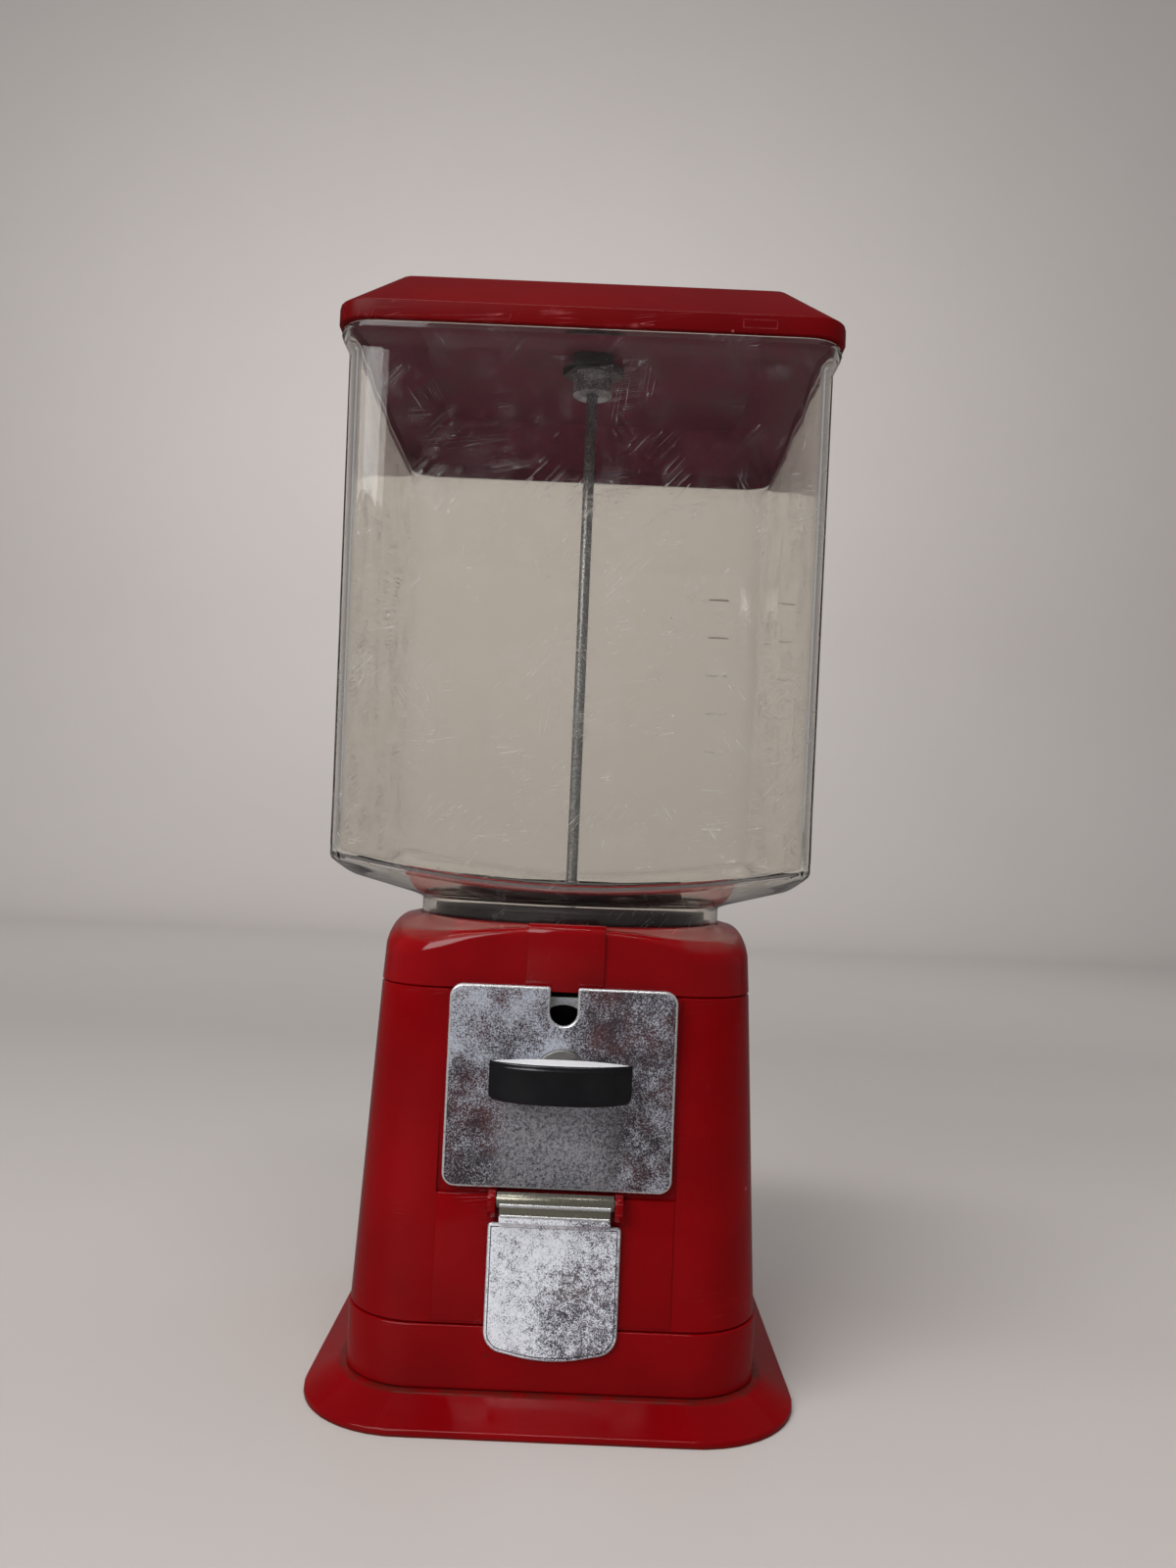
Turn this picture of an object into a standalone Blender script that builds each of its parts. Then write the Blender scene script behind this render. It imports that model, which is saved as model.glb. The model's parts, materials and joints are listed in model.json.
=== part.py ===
# Gumball machine with a square clear globe, a coin mechanism and a drop door.
# Metres, +Z up. The origin is under the middle of the base and the front faces -Y.
# Turned, lofted and extruded pieces share the helpers below, and each piece has its own function.

import math

import bmesh
import bpy
from mathutils import Matrix, Vector

# Clearances that every fit is worked out from
SEAT_GAP = 0.0003
RUN_GAP = 0.0006
OVERRUN = 0.004
EMBED = 0.0005

# Base flange and the band that stands on it
FLANGE_HALF = 0.0962
FLANGE_CORNER = 0.0420
FLANGE_EDGE = 0.0022
FLANGE_RISE = 0.0107
SHELL_WALL = 0.0026
BAND_HALF = 0.0810
BAND_CORNER = 0.0294
BAND_TOP = 0.0344

# Body shell, tapered towards the hopper housing
BODY_LEDGE = 0.0007
BODY_TOP_HALF = 0.0747
BODY_TOP_CORNER = 0.0270
BODY_TOP = 0.1593
PANEL_HALF_WIDTH = 0.0452
PANEL_PROUD = 0.0006
PANEL_STEP_Z = 0.0828

# Hopper housing: a square shoulder that closes to a round throat
SHOULDER_HEIGHT = 0.0251
SHOULDER_SLOPE = 0.27
SHOULDER_FILLET = 0.0026
SHOULDER_CORNER_FILLET = 0.0125
SHOULDER_SHARES = (0.0, 0.35, 0.68, 1.0)
THROAT_RADIUS = 0.0666
STRIP_HALF_WIDTH = 0.0151
STRIP_PROUD = 0.0015
LEDGE_Z = 0.1692
LEDGE_THICKNESS = 0.0025
LEDGE_RADIUS = 0.0595

# Globe
GLOBE_WALL = 0.0026
COLLAR_RADIUS = 0.0660
COLLAR_TOP = 0.1922
GLOBE_FOOT_HALF = 0.0921
GLOBE_HEAD_HALF = 0.0944
GLOBE_CORNER = 0.0115
GLOBE_CREASE_Z = 0.2135
CONE_SLOPE = 0.27
COVE_Z = 0.4020
GLOBE_TOP = 0.4125
GLOBE_FLANGE = 0.0030
COLLAR_FILLET = 0.0015
GLOBE_FLARE = 0.0029
GLOBE_FLANGE_HALF = GLOBE_HEAD_HALF + GLOBE_FLARE

# Lid and its lock
LID_OVERHANG = 0.0010
LID_HALF = GLOBE_FLANGE_HALF + LID_OVERHANG
LID_CORNER = 0.0130
LID_BAND = 0.0072
LID_SLOPE_RUN = 0.0203
LID_TOP_HALF = LID_HALF - LID_SLOPE_RUN
LID_TOP_CORNER = 0.0050
LID_RISE = 0.0195
LOCK_BARREL_RADIUS = 0.0090
LOCK_FLANGE_RADIUS = 0.0120
LOCK_FLANGE = 0.0016
LOCK_DEPTH = 0.0160
PLUG_RADIUS = 0.0052
PLUG_DEPTH = 0.0100
PLUG_PROUD = 0.0006
KEYWAY_WIDTH = 0.0012
KEYWAY_LENGTH = 0.0060
KEYWAY_DEPTH = 0.0030
LOCK_NUT_ACROSS = 0.0240
LOCK_NUT_THICKNESS = 0.0040

# Centre rod
ROD_RADIUS = 0.0025
ROD_NUT_ACROSS = 0.0090
ROD_NUT_THICKNESS = 0.0040
ROD_WASHER_RADIUS = 0.0090
ROD_WASHER_THICKNESS = 0.0015

# Wheel housing, the black cup under the globe, with its cover, floor and bush
CUP_NECK_RADIUS = 0.0500
CUP_TOP = 0.1959
CUP_WALL = 0.0020
CUP_FLANGE_RADIUS = 0.0658
CUP_FLANGE = 0.0022
CUP_WELL_RADIUS = 0.0586
CUP_BOTTOM = 0.1340
CUP_RIM = 0.0025
CUP_RIM_RADIUS = 0.0655
CUP_SHOULDER_DROP = 0.0080
COVER_THICKNESS = 0.0024
COVER_WINDOWS = 3
COVER_HUB_RADIUS = 0.0100
COVER_WINDOW_RADIUS = 0.0445
COVER_RIB_HALF_WIDTH = 0.0035
COVER_TURN_SHARE = 0.25
COVER_OPEN_BAYS = 2
GASKET_WIDTH = 0.0052
GASKET_THICKNESS = 0.0017
FLOOR_THICKNESS = 0.0025
PLATEAU_RADIUS = 0.0448
PLATEAU_HEIGHT = 0.0087
PLATEAU_WALL = 0.0020
BUSH_RADIUS = 0.0042
BUSH_FLANGE_RADIUS = 0.0070

# Product wheel with its crown of teeth underneath
POCKETS = 6
POCKET_RADIUS = 0.0133
POCKET_CIRCLE = 0.0300
WHEEL_RADIUS = 0.0556
WHEEL_THICKNESS = 0.0235
WHEEL_HUB_RADIUS = 0.0100
WHEEL_HUB_HEIGHT = 0.0040
CROWN_TEETH = 48
CROWN_INNER = 0.0456
CROWN_OUTER = 0.0507
TOOTH_ADDENDUM = 0.0016
TOOTH_DEDENDUM = 0.0023
TOOTH_ROOT_SHARE = 0.22
TOOTH_TIP_SHARE = 0.09
WHEEL_COLLAR_RADIUS = 0.0085
WHEEL_COLLAR_THICKNESS = 0.0040

# Coin mechanism: plates, coin wheel, shaft, pinion, ratchet and pawl
SHAFT_Z = 0.1280
SHAFT_RADIUS = 0.0042
PLATE_FRONT = 0.0802
PLATE_THICKNESS = 0.0032
PLATE_HALF_WIDTH = 0.0438
PLATE_BOTTOM = 0.0856
PLATE_TOP = 0.1620
PLATE_CORNER = 0.0050
PLATE_EDGE = 0.0008
NOTCH_HALF_WIDTH = 0.0053
NOTCH_DEPTH = 0.0147
COIN_RADIUS = 0.0121
COIN_CENTRE = 0.0185
COIN_WHEEL_RADIUS = 0.0300
COIN_WHEEL_THICKNESS = 0.0030
BACKPLATE_HALF_WIDTH = 0.0312
BACKPLATE_HALF_HEIGHT = 0.0295
BACKPLATE_THICKNESS = 0.0024
WINDOW_RADIUS = 0.0045
WINDOW_Z = 0.1507
POST_RADIUS = 0.0028
POST_X = 0.0278
POST_DROP = 0.0262
STUD_RADIUS = 0.0020
STUD_X = 0.0383
STUD_LENGTH = 0.0088
STUD_NUT_ACROSS = 0.0070
STUD_NUT_THICKNESS = 0.0028
SCREW_RADIUS = 0.0012
SCREW_HEAD_RADIUS = 0.0023
SCREW_HEAD = 0.0015
SCREW_CROWN_SHARE = 0.7
SCREW_LENGTH = 0.0050
PINION_TEETH = 8
PINION_PITCH_RADIUS = 0.0080
PINION_WIDTH = 0.0049
PINION_BACK = 0.0459
PINION_HUB_RADIUS = 0.0056
PINION_HUB = 0.0046
GEAR_PIN_RADIUS = 0.0008
RATCHET_TEETH = 12
RATCHET_RADIUS = 0.0140
RATCHET_TOOTH_SHARE = 0.84
RATCHET_THICKNESS = 0.0028
PAWL_PIVOT_X = 0.0235
PAWL_PIVOT_RISE = 0.0150
PAWL_EYE_RADIUS = 0.0042
PAWL_PIN_RADIUS = 0.0016
PAWL_PIN_HEAD_RADIUS = 0.0030
PAWL_PIN_HEAD = 0.0012
PAWL_TIP_WIDTH = 0.0022
PAWL_TIP_ANGLE = 70.0

# Handle and the disc behind it
ESCUTCHEON_RADIUS = 0.0100
ESCUTCHEON_THICKNESS = 0.0013
HANDLE_HALF_WIDTH = 0.0268
HANDLE_HALF_HEIGHT = 0.0073
HANDLE_FRONT = 0.0983
HANDLE_BACK = 0.0835
HANDLE_WAIST = 0.0905
HANDLE_SOCKET = 0.0050
HANDLE_BOSS_RADIUS = 0.0068
GRIP_WALL = 0.0022

# Chute, its mouth, and the door
CHUTE_HALF_WIDTH = 0.0167
CHUTE_WALL = 0.0015
CHUTE_FRONT_WALL = 0.0012
CHUTE_DROP_FRONT = 0.0452
CHUTE_DROP_BACK = 0.0160
CHUTE_FLOOR_BACK_Z = 0.0705
CHUTE_FLOOR_FRONT_Z = 0.0292
CHUTE_HEADROOM = 0.0345
CHUTE_TAB_HALF_WIDTH = 0.0255
CHUTE_TAB_HALF_DEPTH = 0.0040
CHUTE_TAB_THICKNESS = 0.0030
CHUTE_POST_RADIUS = 0.0034
MOUTH_BOTTOM = 0.0274
MOUTH_TOP = 0.0712
DOOR_HALF_WIDTH = 0.0251
DOOR_TOP = 0.0735
DOOR_BOTTOM = 0.0232
DOOR_BOW = 0.0024
DOOR_CORNER = 0.0080
DOOR_THICKNESS = 0.0014
DOOR_GAP = 0.0004
DOOR_TAB_HALF_WIDTH = 0.0209
DOOR_BARREL_RADIUS = 0.0029
DOOR_BARREL_HALF_WIDTH = 0.0221
DOOR_PIVOT_Y = 0.0834
DOOR_PIVOT_Z = 0.0824
HINGE_PIN_RADIUS = 0.0014
EAR_INNER = 0.0224
EAR_OUTER = 0.0255
EAR_FRONT = 0.0862
EAR_BOTTOM = 0.0756

# Screws that hold the floor to the cup and the chute to the floor
FLOOR_SCREWS = 3
FLOOR_SCREW_CIRCLE = 0.0622
FIRST_FLOOR_SCREW_ANGLE = 90.0
CHUTE_SCREW_X = 0.0218
CHUTE_SCREW_LENGTH = 0.0115

# Counts of faces round a curve
RING_STEPS_PER_OCTANT = 6
RING_EASE_POWER = 1.7
LARGE_STEPS = 36
SMALL_STEPS = 16
TINY_STEPS = 8
ARC_STEPS = 3
EASE_SHARES = (0.0, 0.28, 0.52, 0.74, 0.90, 1.0)


# Scene and materials

def clear_scene():
    for old in list(bpy.data.objects):
        bpy.data.objects.remove(old, do_unlink=True)


def new_collection(name):
    collection = bpy.data.collections.new(name)
    bpy.context.scene.collection.children.link(collection)
    return collection


def material(name, colour, roughness, metallic=0.0, transmission=0.0):
    made = bpy.data.materials.new(name)
    made.use_nodes = True
    shader = made.node_tree.nodes["Principled BSDF"]
    shader.inputs["Base Color"].default_value = (*colour, 1.0)
    shader.inputs["Roughness"].default_value = roughness
    shader.inputs["Metallic"].default_value = metallic
    shader.inputs["Transmission Weight"].default_value = transmission
    return made


clear_scene()
MACHINE = new_collection("gumball_machine")
CUTTERS = new_collection("cutters")
RED_PLASTIC = material("red_plastic", (0.33, 0.004, 0.006), 0.25)
CLEAR_PLASTIC = material("clear_plastic", (0.93, 0.92, 0.88), 0.08, transmission=1.0)
BLACK_PLASTIC = material("black_plastic", (0.012, 0.012, 0.013), 0.45)
WORN_CHROME = material("worn_chrome", (0.42, 0.42, 0.43), 0.35, metallic=1.0)
ZINC_STEEL = material("zinc_steel", (0.48, 0.48, 0.45), 0.32, metallic=1.0)
BRASS = material("brass", (0.62, 0.44, 0.18), 0.35, metallic=1.0)
WHITE_NYLON = material("white_nylon", (0.75, 0.73, 0.66), 0.5)
GREY_RUBBER = material("grey_rubber", (0.10, 0.10, 0.10), 0.8)


# Helpers: each returns an object in the machine's collection

def add_object(name, mesh, look, location=(0, 0, 0), rotation=(0, 0, 0)):
    made = bpy.data.objects.new(name, mesh)
    made.location = location
    made.rotation_euler = [math.radians(angle) for angle in rotation]
    mesh.materials.append(look)
    MACHINE.objects.link(made)
    return made


def smooth(mesh, angle=35.0):
    mesh.shade_smooth()
    mesh.set_sharp_from_angle(angle=math.radians(angle))


def square_ring(half, corner, z, lift=None):
    """Points of a rounded square, close together at its corners; corner == half makes a circle."""
    angles = []
    for octant in range(8):
        for step in range(RING_STEPS_PER_OCTANT):
            share = step / RING_STEPS_PER_OCTANT
            if octant % 2 == 0:
                share = 1 - (1 - share) ** RING_EASE_POWER
            else:
                share = share ** RING_EASE_POWER
            angles.append(math.radians(45 * (octant + share)))
    points = []
    for angle in angles:
        across, along = abs(math.cos(angle)), abs(math.sin(angle))
        reach = half / max(across, along)
        flat = half - corner
        if min(across, along) * reach > flat:
            middle = flat * (across + along)
            reach = middle + math.sqrt(max(middle ** 2 - 2 * flat ** 2 + corner ** 2, 0))
        height = z if lift is None else lift(reach)
        points.append((reach * math.cos(angle), reach * math.sin(angle), height))
    return points


def loft(name, rings, look, closed=False, rotation=(0, 0, 0), location=(0, 0, 0)):
    """Skin over rings of equal counts: capped at both ends, or closed from the last ring to the first."""
    mesh = bpy.data.meshes.new(name)
    bm = bmesh.new()
    rows = [[bm.verts.new(point) for point in ring] for ring in rings]
    pairs = list(zip(rows, rows[1:]))
    if closed:
        pairs.append((rows[-1], rows[0]))
    for low, high in pairs:
        for i, vertex in enumerate(low):
            after = (i + 1) % len(low)
            bm.faces.new((vertex, low[after], high[after], high[i]))
    if not closed:
        bm.faces.new(rows[0])
        bm.faces.new(rows[-1])
    bmesh.ops.recalc_face_normals(bm, faces=bm.faces[:])
    bm.to_mesh(mesh)
    bm.free()
    smooth(mesh)
    return add_object(name, mesh, look, location, rotation)


def turned(name, profile, look, steps=LARGE_STEPS, location=(0, 0, 0), rotation=(0, 0, 0)):
    """A profile of (radius, height) points turned round the object's Z axis."""
    area = sum(a[0] * b[1] - b[0] * a[1] for a, b in zip(profile, profile[1:] + profile[:1]))
    points = list(profile) if area < 0 else list(reversed(profile))
    on_axis = [i for i, point in enumerate(points) if point[0] == 0]
    closed = not on_axis
    if on_axis:
        first = next(i for i in on_axis if points[(i + 1) % len(points)][0] > 0)
        points = points[first:] + points[:first]
    mesh = bpy.data.meshes.new(name)
    edges = [(i, i + 1) for i in range(len(points) - 1)]
    if closed:
        edges.append((len(points) - 1, 0))
    mesh.from_pydata([(r, 0, z) for r, z in points], edges, [])
    made = add_object(name, mesh, look, location, rotation)
    screw = made.modifiers.new("turn", "SCREW")
    screw.steps = screw.render_steps = steps
    screw.use_merge_vertices = True
    screw.merge_threshold = 1e-6
    screw.use_smooth_shade = True
    return made


def box(name, low, high, look):
    mesh = bpy.data.meshes.new(name)
    bm = bmesh.new()
    bmesh.ops.create_cube(bm, size=1)
    size = Vector(high) - Vector(low)
    middle = (Vector(high) + Vector(low)) / 2
    bm.transform(Matrix.Translation(middle) @ Matrix.Diagonal((*size, 1)))
    bm.to_mesh(mesh)
    bm.free()
    return add_object(name, mesh, look)


def rod(name, radius, start, end, look, steps=SMALL_STEPS):
    """A cylinder from one point to another."""
    run = Vector(end) - Vector(start)
    mesh = bpy.data.meshes.new(name)
    bm = bmesh.new()
    bmesh.ops.create_cone(
        bm, cap_ends=True, segments=steps, radius1=radius, radius2=radius, depth=run.length
    )
    turn = run.to_track_quat("Z", "Y").to_matrix().to_4x4()
    bm.transform(turn)
    bm.to_mesh(mesh)
    bm.free()
    smooth(mesh)
    middle = (Vector(start) + Vector(end)) / 2
    return add_object(name, mesh, look, middle)


def hexagon(across):
    return [
        (across / math.sqrt(3) * math.cos(math.radians(60 * i)),
         across / math.sqrt(3) * math.sin(math.radians(60 * i)))
        for i in range(6)
    ]


def prism(name, outline, thickness, look, location=(0, 0, 0), rotation=(0, 0, 0)):
    """A flat outline, extruded half its thickness to each side of its own XY plane."""
    curve = bpy.data.curves.new(name + "_outline", "CURVE")
    curve.dimensions = "2D"
    curve.fill_mode = "BOTH"
    curve.extrude = thickness / 2
    spline = curve.splines.new("POLY")
    spline.points.add(len(outline) - 1)
    for point, (x, y) in zip(spline.points, outline):
        point.co = (x, y, 0, 1)
    spline.use_cyclic_u = True
    drawn = bpy.data.objects.new(name + "_outline", curve)
    MACHINE.objects.link(drawn)
    graph = bpy.context.evaluated_depsgraph_get()
    mesh = bpy.data.meshes.new_from_object(drawn.evaluated_get(graph))
    mesh.name = name
    bpy.data.objects.remove(drawn, do_unlink=True)
    bm = bmesh.new()
    bm.from_mesh(mesh)
    bmesh.ops.remove_doubles(bm, verts=bm.verts[:], dist=1e-6)
    bmesh.ops.recalc_face_normals(bm, faces=bm.faces[:])
    bm.to_mesh(mesh)
    bm.free()
    mesh.materials.clear()
    return add_object(name, mesh, look, location, rotation)


def facing_front(name, outline, thickness, back, look):
    """A prism drawn in X and Z whose rear face stands at y = -back."""
    return prism(name, outline, thickness, look, (0, -back - thickness / 2, 0), (90, 0, 0))


def from_side(name, outline, half_width, look):
    """A prism drawn in Y and Z, as wide to each side of x = 0."""
    return prism(name, outline, 2 * half_width, look, (0, 0, 0), (90, 0, 90))


def combine(target, other, operation):
    other.hide_render = True
    other.display_type = "WIRE"
    MACHINE.objects.unlink(other)
    CUTTERS.objects.link(other)
    step = target.modifiers.new(other.name, "BOOLEAN")
    step.operation = operation
    step.solver = "EXACT"
    step.object = other
    return target


def cut(target, other):
    return combine(target, other, "DIFFERENCE")


def join(target, other):
    return combine(target, other, "UNION")


def bevel(made, width, segments=1, angle=50.0):
    step = made.modifiers.new("edge", "BEVEL")
    step.width = width
    step.segments = segments
    step.limit_method = "ANGLE"
    step.angle_limit = math.radians(angle)


def arc(centre, radius, start, end, steps=ARC_STEPS):
    return [
        (centre[0] + radius * math.cos(math.radians(start + (end - start) * i / steps)),
         centre[1] + radius * math.sin(math.radians(start + (end - start) * i / steps)))
        for i in range(steps + 1)
    ]


def mix(a, b, share):
    return a + (b - a) * share


def hang(made, parent):
    """Parents a piece to the empty on its joint's axis, where it already lies."""
    bpy.context.view_layer.update()
    made.parent = parent
    made.matrix_parent_inverse = parent.matrix_world.inverted()


def pivot(name, location):
    empty = bpy.data.objects.new(name, None)
    empty.location = location
    MACHINE.objects.link(empty)
    bpy.context.view_layer.update()
    return empty


# Levels that several pieces share

BAND_BOTTOM = FLANGE_RISE + SEAT_GAP
BODY_BOTTOM = BAND_TOP + SEAT_GAP
HOUSING_BOTTOM = BODY_TOP + SEAT_GAP
SHOULDER_TOP = HOUSING_BOTTOM + SHOULDER_HEIGHT
CUP_FLANGE_BOTTOM = LEDGE_Z + LEDGE_THICKNESS + SEAT_GAP
CUP_FLANGE_TOP = CUP_FLANGE_BOTTOM + CUP_FLANGE
GASKET_BOTTOM = CUP_FLANGE_TOP + SEAT_GAP
COLLAR_BOTTOM = GASKET_BOTTOM + GASKET_THICKNESS + SEAT_GAP
LID_BOTTOM = GLOBE_TOP + SEAT_GAP
LID_SLOPE_Z = LID_BOTTOM + LID_BAND
LID_TOP = LID_SLOPE_Z + LID_RISE
LOCK_TOP = LID_TOP + SEAT_GAP + LOCK_FLANGE
LOCK_BOTTOM = LID_TOP - LOCK_DEPTH
PLUG_TOP = LOCK_TOP + PLUG_PROUD
PLUG_BOTTOM = PLUG_TOP - PLUG_DEPTH
ROD_TOP = PLUG_BOTTOM - RUN_GAP
DECK_BOTTOM = FLANGE_RISE - SHELL_WALL
ROD_WASHER_TOP = DECK_BOTTOM - SEAT_GAP
ROD_NUT_TOP = ROD_WASHER_TOP - ROD_WASHER_THICKNESS - SEAT_GAP
ROD_BOTTOM = ROD_NUT_TOP - ROD_NUT_THICKNESS
FLOOR_TOP = CUP_BOTTOM - SEAT_GAP
FLOOR_BOTTOM = FLOOR_TOP - FLOOR_THICKNESS
PLATEAU_TOP = FLOOR_BOTTOM + PLATEAU_HEIGHT
WHEEL_BOTTOM = PLATEAU_TOP + RUN_GAP
WHEEL_TOP = WHEEL_BOTTOM + WHEEL_THICKNESS
MESH_Z = SHAFT_Z + PINION_PITCH_RADIUS
PLATE_BACK = PLATE_FRONT - PLATE_THICKNESS
COIN_WHEEL_FRONT = PLATE_BACK - SEAT_GAP
COIN_WHEEL_BACK = COIN_WHEEL_FRONT - COIN_WHEEL_THICKNESS
BACKPLATE_FRONT = COIN_WHEEL_BACK - SEAT_GAP
BACKPLATE_BACK = BACKPLATE_FRONT - BACKPLATE_THICKNESS
RATCHET_FRONT = BACKPLATE_BACK - SEAT_GAP
RATCHET_BACK = RATCHET_FRONT - RATCHET_THICKNESS
MOUNT_FACE = PLATE_BACK - SEAT_GAP
EAR_TOP = PLATE_BOTTOM - SEAT_GAP
SHAFT_HOLE = SHAFT_RADIUS + SEAT_GAP
OUTLET_RADIUS = POCKET_RADIUS + SEAT_GAP
ESCUTCHEON_FRONT = PLATE_FRONT + SEAT_GAP + ESCUTCHEON_THICKNESS
CHUTE_TOP = FLOOR_BOTTOM - SEAT_GAP


def body_half_at(z):
    share = (z - BODY_BOTTOM) / (BODY_TOP - BODY_BOTTOM)
    return mix(BAND_HALF - BODY_LEDGE, BODY_TOP_HALF, share)


# Base

def base_flange():
    """A flared skirt with a flat deck, hollow underneath."""
    foot, corner, wall = FLANGE_HALF, FLANGE_CORNER, SHELL_WALL
    deck = BAND_HALF + BODY_LEDGE
    deck_corner = BAND_CORNER + BODY_LEDGE
    rings = [
        square_ring(deck - wall, deck_corner - wall, DECK_BOTTOM),
        square_ring(foot - wall, corner - wall, FLANGE_EDGE / 2),
        square_ring(foot - wall, corner - wall, 0),
        square_ring(foot - wall / 8, corner - wall / 8, 0),
        square_ring(foot, corner, wall / 8),
        square_ring(foot, corner, FLANGE_EDGE),
        square_ring(foot - wall / 8, corner - wall / 8, FLANGE_EDGE + wall / 8),
        square_ring(deck, deck_corner, FLANGE_RISE),
    ]
    made = loft("base_flange", rings, RED_PLASTIC)
    return cut(made, rod("rod_hole_in_deck", ROD_RADIUS + RUN_GAP, (0, 0, -OVERRUN),
                         (0, 0, FLANGE_RISE + OVERRUN), RED_PLASTIC))


def mouth_cutter(name):
    half = CHUTE_HALF_WIDTH + SEAT_GAP
    return box(name, (-half, -BAND_HALF - OVERRUN, MOUTH_BOTTOM),
               (half, -BODY_TOP_HALF + 2 * SHELL_WALL, MOUTH_TOP), RED_PLASTIC)


def base_band():
    """The ring between the flange and the body, a little proud of the body."""
    edge = SHELL_WALL / 6
    inner, inner_corner = BAND_HALF - SHELL_WALL, BAND_CORNER - SHELL_WALL
    rings = [
        square_ring(BAND_HALF, BAND_CORNER, BAND_BOTTOM),
        square_ring(BAND_HALF, BAND_CORNER, BAND_TOP - edge),
        square_ring(BAND_HALF - edge, BAND_CORNER - edge, BAND_TOP),
        square_ring(inner, inner_corner, BAND_TOP),
        square_ring(inner, inner_corner, BAND_BOTTOM),
    ]
    return cut(loft("base_band", rings, RED_PLASTIC, closed=True), mouth_cutter("mouth_in_band"))


# Body

def body_shell():
    foot = BAND_HALF - BODY_LEDGE
    foot_corner = BAND_CORNER - BODY_LEDGE
    wall = SHELL_WALL
    rings = [
        square_ring(foot, foot_corner, BODY_BOTTOM),
        square_ring(BODY_TOP_HALF, BODY_TOP_CORNER, BODY_TOP),
        square_ring(BODY_TOP_HALF - wall, BODY_TOP_CORNER - wall, BODY_TOP),
        square_ring(foot - wall, foot_corner - wall, BODY_BOTTOM),
    ]
    made = loft("body_shell", rings, RED_PLASTIC, closed=True)
    join(made, lower_panel())
    join(made, box("mechanism_pad", (-PANEL_HALF_WIDTH, -MOUNT_FACE, PANEL_STEP_Z),
                   (PANEL_HALF_WIDTH, -BODY_TOP_HALF + wall - EMBED, BODY_TOP), RED_PLASTIC))
    recess = PANEL_HALF_WIDTH + PANEL_PROUD
    cut(made, box("recess_for_plate", (-recess, -BAND_HALF - OVERRUN, PANEL_STEP_Z),
                  (recess, -MOUNT_FACE, BODY_TOP + OVERRUN), RED_PLASTIC))
    for side in (-1, 1):
        join(made, hinge_ear(side))
    side_room = BACKPLATE_HALF_WIDTH + RUN_GAP
    low = SHAFT_Z - COIN_WHEEL_RADIUS - OVERRUN
    cut(made, box("mechanism_opening", (-side_room, -BAND_HALF, low),
                  (side_room, -BODY_TOP_HALF + 3 * wall, BODY_TOP + OVERRUN), RED_PLASTIC))
    cut(made, mouth_cutter("mouth_in_body"))
    cut(made, rod("pin_hole_in_ears", HINGE_PIN_RADIUS + SEAT_GAP,
                  (-EAR_OUTER - OVERRUN, -DOOR_PIVOT_Y, DOOR_PIVOT_Z),
                  (EAR_OUTER + OVERRUN, -DOOR_PIVOT_Y, DOOR_PIVOT_Z), RED_PLASTIC))
    for side in (-1, 1):
        cut(made, rod(f"stud_hole_{side}", STUD_RADIUS + SEAT_GAP, (side * STUD_X, -BAND_HALF, SHAFT_Z),
                      (side * STUD_X, -BODY_TOP_HALF + 3 * wall, SHAFT_Z), RED_PLASTIC))
    return made


def lower_panel():
    """The flat raised panel round the chute's mouth, which leans back with the body."""
    rings = []
    for z in (BODY_BOTTOM + SHELL_WALL / 2, PANEL_STEP_Z):
        front = -body_half_at(z) - PANEL_PROUD
        back = -body_half_at(z) + SHELL_WALL / 2
        half = PANEL_HALF_WIDTH
        rings.append([(-half, front, z), (half, front, z), (half, back, z), (-half, back, z)])
    return loft("lower_panel", rings, RED_PLASTIC)


def hinge_ear(side):
    """A prong that carries one end of the door's pin."""
    root = -body_half_at(EAR_TOP) + SHELL_WALL / 2
    nose = EAR_FRONT - DOOR_PIVOT_Y
    outline = [(root, EAR_BOTTOM), (root, EAR_TOP)]
    outline += arc((-DOOR_PIVOT_Y, EAR_TOP - nose), nose, 90, 180)
    outline += [(-EAR_FRONT, EAR_BOTTOM + nose), (-DOOR_PIVOT_Y, EAR_BOTTOM)]
    half = (EAR_OUTER - EAR_INNER) / 2
    made = from_side("ear_left" if side < 0 else "ear_right", outline, half, RED_PLASTIC)
    made.location.x = side * (EAR_INNER + half)
    return made


# Hopper housing

def shoulder_point(x, y, share):
    """A point of the shoulder above (x, y) on the wall, from the wall (0) round its rounded edge (1)."""
    half = BODY_TOP_HALF - BODY_LEDGE
    reach = math.hypot(x, y)
    flat = half - BODY_TOP_CORNER
    diagonal = flat * math.sqrt(2) + BODY_TOP_CORNER
    fillet = mix(SHOULDER_FILLET, SHOULDER_CORNER_FILLET, ((reach - half) / (diagonal - half)) ** 2)
    angle = math.radians(90 * share)
    inside = reach - fillet * (1 - math.cos(angle))
    cone = SHOULDER_TOP - SHOULDER_SLOPE * (reach - fillet - THROAT_RADIUS - SHELL_WALL)
    z = cone - fillet * (1 - math.sin(angle))
    return x * inside / reach, y * inside / reach, z


def shoulder_ring(share):
    wall = square_ring(BODY_TOP_HALF - BODY_LEDGE, BODY_TOP_CORNER, 0)
    return [shoulder_point(x, y, share) for x, y, _ in wall]


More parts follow.
